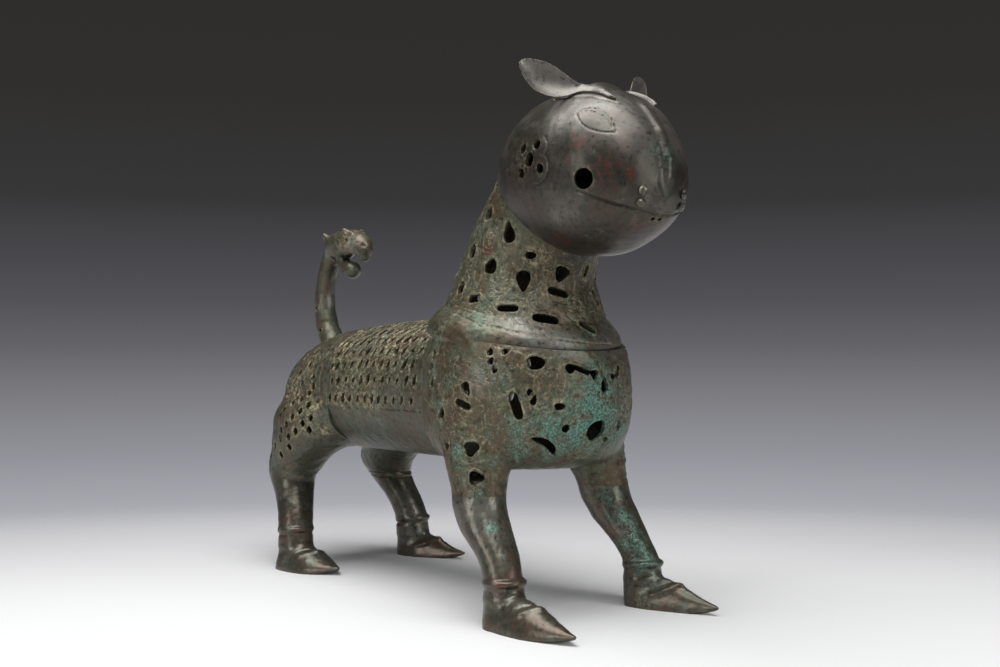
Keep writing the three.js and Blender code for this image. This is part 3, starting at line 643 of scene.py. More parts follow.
def repeated(name, piece, spots, sizes, material):
    points = bpy.data.meshes.new(name + "_points")
    points.from_pydata([Vector(v) for v in toFrame([spot["at"] for spot in spots])], [], [])
    turns = points.attributes.new("turn", "FLOAT_VECTOR", "POINT")
    lengths = points.attributes.new("size", "FLOAT_VECTOR", "POINT")
    for i, spot in enumerate(spots):
        basis = Matrix((spot["along"], spot["across"], spot["normal"])).transposed()
        turns.data[i].vector = basis.to_euler()
        lengths.data[i].vector = Vector(sizes[i]) * millimetre
    holder = bpy.data.objects.new(name + "_points", points)
    scene.collection.objects.link(holder)
    tree = repeatTree(material)
    modifier = holder.modifiers.new("repeat", "NODES")
    modifier.node_group = tree
    inputs = [item for item in tree.interface.items_tree if item.in_out == "INPUT"]
    sockets = {item.name: item.identifier for item in inputs}
    modifier[sockets["Piece"]] = piece
    modifier[sockets["Size"]] = 1.0
    plain = evaluated(holder)
    plain.name = name
    bpy.data.objects.remove(holder)
    made = bpy.data.objects.new(name, plain)
    scene.collection.objects.link(made)
    return made


# Takes one piece away from another
def carved(target, tool):
    modifier = target.modifiers.new("carve", "BOOLEAN")
    modifier.operation = "DIFFERENCE"
    modifier.solver = "MANIFOLD"
    modifier.object = tool
    result = evaluated(target)
    target.modifiers.remove(modifier)
    old = target.data
    target.data = result
    bpy.data.meshes.remove(old)
    bpy.data.objects.remove(tool)
    return target


# Cuts a piece off square at a plane: what lies on the side that the normal points to goes
def trimmed(piece, point, normal, reach=600):
    turn = Vector(normal).to_track_quat("Z", "X").to_matrix()
    corners = [(x, y, z) for z in (0, 1) for x, y in ((-1, -1), (1, -1), (1, 1), (-1, 1))]
    verts = [tuple(Vector(point) + turn @ (Vector(corner) * reach)) for corner in corners]
    faces = [(3, 2, 1, 0), (4, 5, 6, 7), (0, 1, 5, 4), (1, 2, 6, 5), (2, 3, 7, 6), (3, 0, 4, 7)]
    return carved(piece, meshObject(piece.name + "_cut", verts, faces))


# Adds another closed mesh to a piece
def joinedMeshes(piece, other):
    work = bmesh.new()
    work.from_mesh(piece.data)
    work.from_mesh(other.data)
    work.to_mesh(piece.data)
    work.free()
    bpy.data.objects.remove(other)


midline = 1.5  # nothing this close to the lion's middle is mirrored
turnedAway = 0.1


# A casting's ornament: its holes and the lines engraved round and between them
class Ornament:
    def __init__(self, verts, quads, shy=False):
        self.tree = BVHTree.FromPolygons([Vector(v) for v in verts], quads.tolist())
        self.shy = shy
        self.holes = []
        self.lines = []

    # Where a sight line through a pixel of the photograph meets the skin
    def seen(self, px, py):
        place, normal, _, _ = self.tree.ray_cast(Vector(camera["place"]), sightLine(px, py))
        return place, normal

    # A place on the skin, with the ways out of it, along it and across it
    def spot(self, place, normal, along):
        normal = normal.normalized()
        along = (along - normal * along.dot(normal)).normalized()
        return {"at": place, "normal": normal, "along": along, "across": normal.cross(along)}

    def mirrorSpot(self, spot):
        flip = Vector((1, -1, 1))
        one = {key: spot[key] * flip for key in ("at", "normal", "along")}
        one["across"] = one["normal"].cross(one["along"])
        return one

    # A shy ornament's mirrored half is left out where the photograph would show it
    def mirrors(self, place, normal):
        toEye = (Vector(camera["place"]) - place).normalized()
        return abs(place.y) > midline and (not self.shy or normal.dot(toEye) < turnedAway)

    def hole(self, kind, spot, length, width, both=True):
        self.holes.append((kind, spot, length, width))
        other = self.mirrorSpot(spot)
        if both and self.mirrors(other["at"], other["normal"]):
            self.holes.append((kind, other, length, width))

    # Rows of px, py, length, width, turn in degrees and kind, read off the photograph
    def photoHoles(self, rows, grow=1.0):
        for px, py, length, width, turn, kind in rows:
            place, normal = self.seen(px, py)
            if place is None:
                print("no skin behind the hole at", px, py)
                continue
            turn = math.radians(turn)
            along = viewRight * math.cos(turn) + viewUp * math.sin(turn)
            self.hole(kind, self.spot(place, normal, along), length * grow, width * grow)

    # A line engraved through points, with its depth and half its width
    def line(self, points, depth, half, both=True):
        points = [Vector(p) for p in points]
        self.lines.append((points, depth, half))
        other = [Vector((p.x, -p.y, p.z)) for p in points]
        if both and self.mirrors(*self.tree.find_nearest(other[len(other) // 2])[:2]):
            self.lines.append((other, depth, half))

    def photoLine(self, pixels, depth, half, steps=6):
        rows = np.array(pixels, float)
        padded = np.concatenate([rows[:1], rows, rows[-1:]])
        fine = [between(*padded[i:i + 4], t) for i in range(len(rows) - 1) for t in np.arange(steps) / steps]
        points = [self.seen(px, py)[0] for px, py in [*fine, rows[-1]]]
        points = [p for p in points if p is not None]
        if len(points) > 1:
            self.line(points, depth, half)

    # A ring or part of a ring round a spot, laid on the skin
    def ring(self, spot, long, wide, depth, half, start=0, end=360):
        points = []
        for angle in np.radians(np.arange(start, end + 1, 12)):
            aside = spot["across"] * (wide * math.sin(angle))
            p = spot["at"] + spot["along"] * (long * math.cos(angle)) + aside
            points.append(self.tree.find_nearest(p)[0])
        self.line(points, depth, half, both=False)

    def photoRing(self, px, py, radius, depth, half):
        place, normal = self.seen(px, py)
        if place is None:
            return
        spot = self.spot(place, normal, viewRight)
        self.ring(spot, radius, radius, depth, half)
        other = self.mirrorSpot(spot)
        if self.mirrors(other["at"], other["normal"]):
            self.ring(other, radius, radius, depth, half)

    # Points close together along every hole's edge and every engraved line
    def sampled(self, apart=0.45):
        outline = []
        for kind, spot, length, width in self.holes:
            for x, y in outlineOf(kind, 28):
                outline.append(spot["at"] + spot["along"] * (x * length) + spot["across"] * (y * width))
        engraved = []
        for points, depth, half in self.lines:
            for a, b in zip(points[:-1], points[1:]):
                steps = max(1, int((b - a).length / apart))
                for k in range(steps):
                    engraved.append((a.lerp(b, k / steps), depth, half))
        return outline, engraved

    # What measure() looks things up in
    def trees(self):
        outline, engraved = self.sampled()
        rims = KDTree(max(1, len(outline)))
        for i, p in enumerate(outline):
            rims.insert(p, i)
        rims.balance()
        cuts = KDTree(max(1, len(engraved)))
        for i, (p, _, _) in enumerate(engraved):
            cuts.insert(p, i)
        cuts.balance()
        self.rims = rims if outline else None
        self.cuts = cuts if engraved else None
        self.depths = np.array([(d, h) for _, d, h in engraved]) if engraved else np.zeros((0, 2))

    # Distance from each vertex to the nearest hole's edge and how deep the engraving is there
    def measure(self, verts):
        rim = np.full(len(verts), noHole)
        cut = np.zeros(len(verts))
        for i, v in enumerate(verts):
            if self.rims:
                rim[i] = self.rims.find(v)[2]
            if self.cuts:
                _, index, away = self.cuts.find(v)
                depth, half = self.depths[index]
                if away < 3 * half:
                    cut[i] = depth * math.exp(-(away / half) ** 2)
        return rim, cut


# Cheap noise over a surface: a few waves in fixed random directions
def ripple(verts, size, seed, waves=7):
    rng = np.random.default_rng(seed)
    total = np.zeros(len(verts))
    for _ in range(waves):
        direction = rng.normal(size=3)
        direction /= np.linalg.norm(direction)
        length = size * rng.uniform(0.7, 1.6)
        total += np.sin(verts @ direction * (2 * math.pi / length) + rng.uniform(0, 6.28))
    return total / math.sqrt(waves / 2)


# Round each hole: two engraved lines, a low swelling and a rounded edge, as millimetres from the hole
contour = {
    "first": 2.0, "second": 3.5, "half": 0.45, "depth": 0.5,
    "swellingAt": 0.9, "swellingHalf": 0.7, "swelling": 0.30, "edgeHalf": 0.5, "edgeDepth": 0.45,
}
unevenness = {"patches": 22, "dents": 9, "pits": 3.2}  # how wide each kind is


def contourLines(rim, half):
    return sum(np.exp(-((rim - contour[key]) / half) ** 2) for key in ("first", "second"))


# Presses the ornament into a skin: rounded hole rims, contour lines and engraving
def dressed(verts, quads, ornament, contours, rough, seed):
    normals = vertexNormals(verts, quads)
    ornament.trees()
    rim, cut = ornament.measure(verts)
    patchy = np.clip(0.6 + 0.5 * ripple(verts, unevenness["patches"], seed), 0, 1)
    fromSwelling = (rim - contour["swellingAt"]) / contour["swellingHalf"]
    height = contour["swelling"] * np.exp(-fromSwelling ** 2) * contours
    height -= contour["edgeDepth"] * np.exp(-(rim / contour["edgeHalf"]) ** 2)
    height -= contours * contour["depth"] * contourLines(rim, contour["half"]) * patchy
    height -= cut
    dents = ripple(verts, unevenness["dents"], seed + 1)
    pits = ripple(verts, unevenness["pits"], seed + 2)
    height += rough * dents + 0.5 * rough * pits
    return verts + normals * height[:, None]


# Places where the photograph shows a tint, or a highlight or shade that is painted in, as a pixel, a radius
# in millimetres and a strength
tints = {
    # painted highlight with some real wear: pale spots where highlights fall on the brow and crown, the
    # collar band, the shoulder and the fore legs, and a few on the rump and tail
    "worn": [
        (588, 99, 13, 0.5), (608, 103, 13, 0.5), (630, 108, 13, 0.3), (641, 127, 9, 0.3),
        (622, 133, 10, 0.12), (572, 117, 13, 0.25), (556, 126, 12, 0.3), (650, 140, 6, 0.3),
        (648, 97, 10, 0.4), (633, 148, 8, 0.35), (684, 150, 5, 0.6), (560, 214, 14, 0.25),
        (515, 326, 11, 0.8), (540, 336, 11, 0.8), (565, 342, 11, 0.8), (540, 300, 8, 0.4),
        (475, 380, 9, 0.5), (487, 510, 7, 0.7), (628, 520, 4, 0.5), (300, 380, 12, 0.3),
        (330, 300, 6, 0.5), (352, 242, 6, 0.7),
    ],
    # painted shade: dark spots on the lower face and the nose's side, under the chin and head, under the
    # belly, on the hind legs and at the tail
    "sooty": [
        (600, 168, 15, 0.6), (548, 168, 15, 0.4), (645, 170, 10, 0.7), (664, 158, 8, 0.45),
        (575, 243, 12, 0.7), (606, 247, 12, 0.7), (636, 240, 10, 0.4), (570, 268, 16, 0.6),
        (560, 190, 12, 0.3), (335, 455, 14, 0.6), (300, 500, 16, 0.9), (395, 480, 16, 0.7),
        (400, 430, 14, 0.4), (595, 265, 14, 0.6), (362, 250, 5, 0.9), (334, 270, 5, 0.6),
    ],
    "verdigris": [
        (548, 432, 13, 1.2), (575, 440, 12, 1.1), (600, 385, 12, 0.9), (590, 415, 12, 1.2),
        (612, 405, 9, 0.9), (510, 425, 7, 1.0), (512, 455, 7, 0.7), (474, 318, 9, 0.6),
        (455, 455, 6, 1.0), (460, 440, 8, 0.6), (502, 372, 8, 0.6), (440, 400, 10, 0.5),
        (432, 372, 8, 0.6), (635, 540, 10, 1.3), (622, 520, 8, 1.2), (645, 560, 8, 1.1),
        (612, 500, 8, 0.9), (492, 528, 4, 1.4), (480, 493, 5, 0.7), (660, 150, 9, 0.8),
        (575, 335, 10, 0.35), (525, 450, 9, 0.5), (620, 590, 8, 0.5), (660, 590, 9, 0.5),
    ],
    "ochre": [
        (316, 405, 6, 1.4), (324, 430, 5, 1.3), (372, 400, 12, 0.5), (342, 398, 9, 0.9),
        (355, 385, 20, 0.35), (535, 256, 5, 1.2), (538, 270, 6, 0.6), (540, 405, 7, 0.7),
        (495, 405, 7, 0.5), (521, 163, 10, 0.55), (295, 385, 14, 0.6), (300, 420, 14, 0.5),
        (312, 365, 12, 0.4), (390, 345, 16, 0.35), (345, 350, 16, 0.35), (345, 245, 10, 0.9),
        (640, 605, 8, 0.5), (598, 500, 8, 0.5), (440, 330, 8, 0.6), (605, 395, 6, 0.4),
    ],
    "cuprite": [
        (605, 175, 8, 1.0), (631, 173, 4, 0.9), (560, 237, 7, 1.2), (573, 147, 7, 0.7),
        (617, 152, 8, 0.7), (487, 246, 7, 1.3), (552, 382, 9, 0.8), (632, 228, 8, 0.6),
        (560, 440, 7, 0.5), (498, 583, 6, 0.8), (470, 540, 7, 0.5), (455, 418, 8, 0.6),
        (530, 625, 8, 0.4), (668, 588, 5, 0.9),
    ],
}


mirroredTint = 0.8  # the far side has the same tints, somewhat weaker


# How strong a tint is at each vertex
def tintOn(verts, ornament, rows):
    total = np.zeros(len(verts))
    for px, py, radius, strength in rows:
        place = ornament.seen(px, py)[0]
        if place is None:
            continue
        for side in (1, -1):
            centre = np.array((place.x, place.y * side, place.z))
            share = strength if side == 1 else mirroredTint * strength
            total += share * np.exp(-(((verts - centre) ** 2).sum(1)) / radius ** 2)
    return total


# How strongly hole edges, engraved grooves and contour lines take up the earth's colour
stained = {"rimHalf": 1.3, "groove": 2.2, "contour": 0.22, "broader": 1.2, "within": 6}


# What the finishes read: nearness to a hole, engraving, where worn scrolls lie, and each tint, painted
# highlight and painted shade among them
def storeAttributes(piece, ornament, ornate):
    mesh = piece.data
    count = len(mesh.vertices)
    verts = np.zeros(count * 3)
    mesh.vertices.foreach_get("co", verts)
    verts = verts.reshape(-1, 3) / millimetre - (lionAhead, 0, 0)
    rim, cut = ornament.measure(verts)
    lines = contourLines(rim, stained["broader"] * contour["half"]) * (rim < stained["within"])
    values = {
        "rim": np.exp(-(rim / stained["rimHalf"]) ** 2),
        "groove": np.clip(cut * stained["groove"], 0, 1) + stained["contour"] * lines,
        "ornate": np.zeros(count) if ornate is None else ornate(verts),
    }
    for name, rows in tints.items():
        values[name] = tintOn(verts, ornament, rows)
    for name, value in values.items():
        attribute = mesh.attributes.new(name, "FLOAT", "POINT")
        attribute.data.foreach_set("value", value.astype(np.float32))


# Tones that all finishes share: rubbed metal, which also gives the painted highlights, copper red, earth from
# dark to pale and green crust
patina = {
    "rubbedAndHighlit": (0.27, 0.26, 0.24),
    "red": (0.125, 0.030, 0.020),
    "earth": ((0.135, 0.105, 0.055), (0.33, 0.285, 0.175)),
    "crust": ((0.044, 0.104, 0.078), (0.13, 0.285, 0.23)),
    "bumpDepth": 0.35,
}


# Noise of four sizes, in millimetres, and the worn scrolls' sizes
patches = {"broad": 40, "cloud": 13, "grain": 3.4, "fine": 1.3}
scrolls = {
    "bendScale": 90.0, "bend": 0.009, "innerRing": 0.24, "outerRing": 0.40, "wander": 7.5, "waves": 34.0,
}


# Bronze with its patina, and the painted highlight and painted shade that the tints lay on. Every finish is
# this one recipe with its own tones and amounts.
def bronze(name, recipe):
    shader = Shader(name)
    place = shader.node("ShaderNodeTexCoord", out=3)
    seed = recipe["seed"]
    broad = shader.noise(place, patches["broad"], 2, 0.55, seed)
    cloud = shader.noise(place, patches["cloud"], 4, 0.6, seed + 0.2)
    grain = shader.noise(place, patches["grain"], 5, 0.65, seed + 0.4)
    fine = shader.noise(place, patches["fine"], 3, 0.6, seed + 0.6)
    rim, groove, ornate, worn, sooty, green, ochre, red = (
        shader.attribute(value) for value in ("rim", "groove", "ornate", *tints)
    )

    # Worn scrolls: rings about scattered centres, the borders between them, and wandering lines
    shift = shader.node("ShaderNodeTexNoise", {}, {
        "Vector": place, "Scale": scrolls["bendScale"], "Detail": 1.0,
    }, out=1)
    drift = shader.node("ShaderNodeVectorMath", {"operation": "SCALE"}, {0: shift, "Scale": scrolls["bend"]})
    bent = shader.node("ShaderNodeVectorMath", {"operation": "ADD"}, (place, drift))
    cell = {"Vector": bent, "Scale": 1 / (recipe["scroll"] * millimetre)}
    centre = shader.node("ShaderNodeTexVoronoi", {"feature": "F1"}, cell)
    border = shader.node("ShaderNodeTexVoronoi", {"feature": "DISTANCE_TO_EDGE"}, cell)
    wander = shader.noise(bent, scrolls["wander"], 1.5, 0.5, seed + 3)
    waves = (wander * scrolls["waves"]).maths("SINE").maths("ABSOLUTE")
    lines = shader.spread((centre - scrolls["innerRing"]).maths("ABSOLUTE"), 0.032, 0.010)
    lines = lines + shader.spread((centre - scrolls["outerRing"]).maths("ABSOLUTE"), 0.030, 0.010)
    lines = lines + shader.spread(border, 0.034, 0.012) + shader.spread(waves, 0.20, 0.06) * 0.7
    lines = (lines * shader.spread(cloud, 0.36, 0.56) * ornate).clamped()

    body = shader.mix(shader.spread(broad * 0.5 + cloud * 0.5, 0.42, 0.58), recipe["brown"], recipe["green"])
    mauveMask = shader.spread(cloud * 0.6 + broad * 0.4, 0.50, 0.62) * recipe["mauveShare"]
    body = shader.mix(mauveMask, body, recipe["mauve"])
    # painted shade: those spots turn the bronze towards its dark tone, broken up by the cloud noise
    body = shader.mix((sooty * (0.45 + 0.5 * cloud)).clamped(), body, recipe["dark"])
    # painted highlight with some real wear: those spots turn the bronze towards pale rubbed metal
    body = shader.mix((worn * (0.3 + 0.7 * cloud)).clamped(), body, patina["rubbedAndHighlit"])
    body = shader.mix(shader.spread(grain, 0.48, 0.30) * 0.85, body, recipe["dark"])
    paleMask = shader.spread(grain * 0.7 + fine * 0.3, 0.54, 0.68) * recipe["paleShare"]
    body = shader.mix(paleMask, body, recipe["pale"])
    redMask = (red * 1.1 + recipe["redShare"] * 0.25) * shader.spread(cloud * 0.4 + grain * 0.6, 0.44, 0.60)
    body = shader.mix((redMask * 0.85).clamped(), body, patina["red"])
    ochreBreak = shader.spread(grain * 0.5 + fine * 0.5, 0.42, 0.58)
    ochreMask = (ochre * 0.9 + rim * 0.7) * ochreBreak * recipe["ochreShare"]
    engraved = groove * (0.35 + 0.65 * ochreBreak) * recipe["lineShare"]
    ochreMask = (ochreMask + engraved + lines * 0.5 * shader.spread(fine, 0.38, 0.58)).clamped()
    ochreTone = shader.mix(shader.spread(grain, 0.40, 0.62), *patina["earth"])
    body = shader.mix(ochreMask, body, ochreTone)
    greenBreak = shader.spread(cloud * 0.35 + grain * 0.4 + fine * 0.25, 0.42, 0.58)
    specks = shader.spread(cloud * 0.45 + fine * 0.55, 0.57, 0.68) * 0.8
    greenMask = ((green * 0.95 * greenBreak + specks) * recipe["verdigrisShare"]).clamped()
    greenTone = shader.mix(shader.spread(fine, 0.40, 0.62), *patina["crust"])
    body = shader.mix(greenMask, body, greenTone)
    crust = (greenMask * 0.7 + ochreMask * 0.8).clamped()
    roughness = (recipe["roughness"] + grain * 0.16 + crust * 0.22 - 0.08).clamped()
    metallic = (recipe["metallic"] * (1.0 - crust * 0.85)).clamped()
    height = grain * 0.45 + fine * 0.25 + crust * 0.35 - lines * 0.9
    bump = shader.node("ShaderNodeBump", {}, {
        "Strength": recipe["bump"], "Distance": patina["bumpDepth"] * millimetre, "Height": height,
    })
    return shader.finish(body, roughness, metallic, bump)


finishes = {
    "headBronze": {
        "seed": 1.0, "brown": (0.053, 0.041, 0.033), "green": (0.040, 0.046, 0.034),
        "dark": (0.024, 0.021, 0.016), "mauve": (0.113, 0.097, 0.086), "mauveShare": 0.6,
        "pale": (0.117, 0.113, 0.086), "paleShare": 0.3, "redShare": 0.5, "verdigrisShare": 0.35,
        "ochreShare": 0.45, "lineShare": 0.10, "roughness": 0.39, "metallic": 0.62, "bump": 0.13,
        "scroll": 14.0,
    },
    "breastBronze": {
        "seed": 2.0, "brown": (0.092, 0.069, 0.041), "green": (0.066, 0.091, 0.056),
        "dark": (0.015, 0.017, 0.010), "mauve": (0.139, 0.119, 0.097), "mauveShare": 0.5,
        "pale": (0.224, 0.218, 0.139), "paleShare": 0.7, "redShare": 0.5, "verdigrisShare": 0.85,
        "ochreShare": 0.85, "lineShare": 0.95, "roughness": 0.40, "metallic": 0.5, "bump": 0.9,
        "scroll": 15.0,
    },
    "trunkBronze": {
        "seed": 3.0, "brown": (0.090, 0.074, 0.051), "green": (0.061, 0.083, 0.053),
        "dark": (0.017, 0.018, 0.011), "mauve": (0.122, 0.103, 0.091), "mauveShare": 0.6,
        "pale": (0.184, 0.178, 0.121), "paleShare": 0.45, "redShare": 0.3, "verdigrisShare": 0.65,
        "ochreShare": 1.25, "lineShare": 0.55, "roughness": 0.40, "metallic": 0.5, "bump": 0.55,
        "scroll": 11.0,
    },
    "legBronze": {
        "seed": 4.0, "brown": (0.103, 0.077, 0.057), "green": (0.071, 0.086, 0.063),
        "dark": (0.020, 0.019, 0.013), "mauve": (0.177, 0.148, 0.129), "mauveShare": 0.6,
        "pale": (0.218, 0.200, 0.140), "paleShare": 0.4, "redShare": 0.5, "verdigrisShare": 0.8,
        "ochreShare": 0.8, "lineShare": 0.7, "roughness": 0.33, "metallic": 0.6, "bump": 0.4,
        "scroll": 12.0,
    },
    "pinIron": {
        "seed": 5.0, "brown": (0.040, 0.026, 0.018), "green": (0.032, 0.027, 0.022),
        "dark": (0.014, 0.011, 0.010), "mauve": (0.055, 0.038, 0.030), "mauveShare": 0.5,
        "pale": (0.11, 0.065, 0.038), "paleShare": 0.4, "redShare": 0.2, "verdigrisShare": 0.0,
        "ochreShare": 0.4, "lineShare": 0.3, "roughness": 0.55, "metallic": 0.6, "bump": 0.5,
        "scroll": 12.0,
    },
    "panBronze": {
        "seed": 6.0, "brown": (0.026, 0.020, 0.015), "green": (0.022, 0.022, 0.017),
        "dark": (0.010, 0.009, 0.008), "mauve": (0.045, 0.037, 0.032), "mauveShare": 0.4,
        "pale": (0.10, 0.09, 0.08), "paleShare": 0.4, "redShare": 0.1, "verdigrisShare": 0.2,
        "ochreShare": 0.4, "lineShare": 0.3, "roughness": 0.6, "metallic": 0.4, "bump": 0.6,
        "scroll": 12.0,
    },
}
materials = {name: bronze(name, recipe) for name, recipe in finishes.items()}
print("materials made")


cutterBeyond = 2.2  # a hole's cutter is this much more than a wall deep, each way
sharpAngle = 42


# Closes a casting: outer skin, less its hollow, cut off square at its seams, less its holes
def casting(name, clay, hollow, ornament, look, node, body, cuts=(), ornate=None, inserts=()):
    verts, quads = clay
    skin = dressed(verts, quads, ornament, look["contours"], look["rough"], look["seed"])
    outer = meshObject(name, skin, quads)
    if hollow is not None:
        carved(outer, meshObject(name + "_hollow", *hollow))
    for point, normal in cuts:
        trimmed(outer, point, normal)
    for kind in holeKinds:
        rows = [hole for hole in ornament.holes if hole[0] == kind]
        if rows:
            spots = [row[1] for row in rows]
            sizes = [(row[2], row[3], wall + cutterBeyond) for row in rows]
            carved(outer, repeated(name + "_" + kind, prisms[kind], spots, sizes, materials[look["finish"]]))
    for insert in inserts:
        joinedMeshes(outer, insert)
    storeAttributes(outer, ornament, ornate)
    return dress(outer, look["finish"], node, body)


def coated(piece, finish):
    piece.data.materials.clear()
    piece.data.materials.append(materials[finish])


# A finished piece: its material, its shading, and the CAD piece that it stands for
def dress(piece, finish, node, body):
    coated(piece, finish)
    for polygon in piece.data.polygons:
        polygon.material_index = 0
        polygon.use_smooth = True
    piece.data.set_sharp_from_angle(angle=math.radians(sharpAngle))
    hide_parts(node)
    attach(piece, body)
    print(piece.name, len(piece.data.polygons), "faces")
    return piece


# Pitch of the skins, fine outside and coarser inside
grain = {
    "fine": 0.85,
    "hollow": 1.7,
    "leg": 0.8,
    "tail": 0.75,
}

# The castings' own sizes, which neighbours share
trunk = {"belly": 94, "backFront": 195, "backSeam": 190, "backRear": 182, "halfWidth": 55, "square": 2.3}
rumpEnd = -218.6
rumpSeam = -112
barrelFront = 22
pot = {"x": potLine, "radius": 71, "floor": 93.5, "top": 196}
collar = {"x": 60, "z": 182, "tilt": 9, "radius": 63.5}
seam = {"x": 90, "z": 265, "tilt": 47, "halfLength": 45, "halfWidth": 40.5}
head = {"x": 129, "z": 285, "back": 60, "front": 196, "halfWidth": 49, "rise": 54, "drop": 53}
fore = {"knee": 79, "ankleX": 114, "ankleY": 59.2, "heel": 14, "toe": 67}  # heel and toe bound the clay
hind = {"knee": 72, "ankleX": -159, "ankleY": 55.5, "heel": 22, "toe": 70}
leg = {"spigot": 10, "ankleZ": 25, "ankleRadius": 13.4, "toeLift": 5}
legHollow = {"thicker": 0.5, "ends": (20, -6)}  # the stubs' walls, and how far the hollow runs on at each end


def normalOf(tilt):
    return (math.sin(math.radians(tilt)), 0, math.cos(math.radians(tilt)))


# Back and belly are the heights of the trunk's top and underside
def trunkStation(x, back, belly, halfWidth, square=trunk["square"]):
    middle = (back + belly) / 2
    return station(x, 0, middle, 90, middle - belly, back - middle, halfWidth, square)


belly = trunk["belly"]
rumpStations = [
    trunkStation(rumpEnd, belly + 43, belly + 29, 9, 2),
    trunkStation(rumpEnd + 5, belly + 54, belly + 16, 26, 2),
    trunkStation(rumpEnd + 17, trunk["backRear"] - 18, belly + 7, 41, 2.05),
    trunkStation(rumpEnd + 37, trunk["backRear"] - 5, belly + 2, trunk["halfWidth"] - 4, 2.1),
    trunkStation(rumpEnd + 69, trunk["backRear"] + 4, belly, trunk["halfWidth"]),
    trunkStation(rumpSeam, trunk["backSeam"], belly, trunk["halfWidth"]),
]
barrelStations = [
    trunkStation(rumpSeam, trunk["backSeam"], belly, trunk["halfWidth"]),
    trunkStation((2 * rumpSeam + barrelFront) / 3, trunk["backSeam"] + 3, belly, trunk["halfWidth"]),
    trunkStation((rumpSeam + 2 * barrelFront) / 3, trunk["backFront"] - 1, belly, trunk["halfWidth"]),
    trunkStation(barrelFront, trunk["backFront"], belly, trunk["halfWidth"]),
]
potProfile = [  # height above the pot's floor, and how far it is drawn in there
    (0, 37), (3, 20), (12, 8.5), (26, 2), (45, 0), (64, 1), (82, 5), (pot["top"] - pot["floor"], 15),
]
potStations = []
for rise, drawnIn in potProfile:
    radius = pot["radius"] - drawnIn
    potStations.append(station(pot["x"], 0, pot["floor"] + rise, 0, radius, radius, radius))


# Up and forward are shares of the way from the collar to the seam under the head
def neckStation(up, forward, tilt, ahead, behind, wide):
    x = collar["x"] + forward * (seam["x"] - collar["x"])
    z = collar["z"] + up * (seam["z"] - collar["z"])
    return station(x, 0, z, tilt, ahead, behind, wide)


ring = collar["radius"]
seamLong = seam["halfLength"]
seamWide = seam["halfWidth"]
neckStations = [
    neckStation(0, 0, collar["tilt"], ring, ring, ring),
    neckStation(0.133, 0.033, collar["tilt"], ring - 5.5, ring - 5.5, ring - 6),
    neckStation(0.277, 0.083, 11, ring - 9.5, ring - 10.5, ring - 11.5),
    neckStation(0.518, 0.2, 16, seamLong + 1.5, seamLong + 5, seamWide + 4.5),
    neckStation(0.735, 0.483, 28, seamLong - 1.5, seamLong + 2.5, seamWide + 0.5),
    neckStation(0.886, 0.767, 38, seamLong - 3, seamLong + 1, seamWide - 2),
    neckStation(1, 1, seam["tilt"], seamLong - 4, seamLong, seamWide - 2.5),
]


# Rise and drop are measured from the head's middle line, which lift moves
def headStation(x, wide, rise, drop, lift=0.0, square=2.1):
    return station(x, 0, head["z"] + lift, 90, drop, rise, wide, square)


halfHead, headRise, headDrop = head["halfWidth"], head["rise"], head["drop"]
headStations = [
    headStation(head["back"], 8, 8, 8, 4),
    headStation(head["back"] + 5, halfHead - 24, headRise - 28, headDrop - 27, 4),
    headStation(head["back"] + 19, halfHead - 12, headRise - 15, headDrop - 12, 1),
    headStation(head["back"] + 41, halfHead - 3, headRise - 5, headDrop - 3, 1),
    headStation(head["x"], halfHead, headRise, headDrop),
    headStation(head["x"] + 20, halfHead - 2, headRise - 3, headDrop - 1, -1),
    headStation(head["front"] - 30, halfHead - 5.5, headRise - 7, headDrop - 9.5, -3, 2.2),
    headStation(head["front"] - 15, halfHead - 15.5, headRise - 17, headDrop - 21, -7, 2.2),
    headStation(head["front"] - 5, halfHead - 26, headRise - 28, headDrop - 33, -11, 2.2),
    headStation(head["front"], 8, 9, 9, -13, 2),
]


# Back and inward are measured from the ankle
def legStation(size, back, inward, z, ahead, behind=None, wide=None):
    behind = ahead if behind is None else behind
    wide = ahead if wide is None else wide
    return station(size["ankleX"] - back, size["ankleY"] - inward, z, 0, ahead, behind, wide)


ankle = leg["ankleRadius"]
foreStations = [
    legStation(fore, 0, 0, leg["ankleZ"] - 9, ankle),
    legStation(fore, 2, 0.2, leg["ankleZ"] + 5, ankle - 0.8),
    legStation(fore, 10, 2.2, 43, 14, 14, 13.5),
    legStation(fore, 22, 3.2, 56, 17, 17.5, 16),
    legStation(fore, 31.5, 4.7, 70, 18, 18.5, 17),
    legStation(fore, 35, 6.2, 82, 18.5, 18.5, 17.5),
    legStation(fore, 38.5, 8.7, 95, 22, 23, 20),
    legStation(fore, 43, 12.7, 112, 27, 28, 23.5),
    legStation(fore, 47, 17.2, 130, 27, 28, 24),
    legStation(fore, 48, 22.2, 146, 20, 20, 18),
]
hindStations = [
    legStation(hind, 0, 0, leg["ankleZ"] - 9, ankle + 0.4),
    legStation(hind, 2, 1, leg["ankleZ"] + 8, ankle + 0.2),
    legStation(hind, 8, 3.9, 47, 14.5, 14.5, 14.2),
    legStation(hind, 15, 7, 58, 15.5, 17.5, 15.5),
    legStation(hind, 21, 9.5, 69, 18.5, 23.5, 17.5),
    legStation(hind, 20, 12, 79, 25, 28.5, 20.5),
    legStation(hind, 10, 13, 92, 33, 33, 23.5),
    legStation(hind, 0, 14.5, 106, 39, 42, 27),
    legStation(hind, -4, 17.5, 122, 42, 45, 28),
    legStation(hind, -7, 25.5, 140, 30, 30, 22),
]


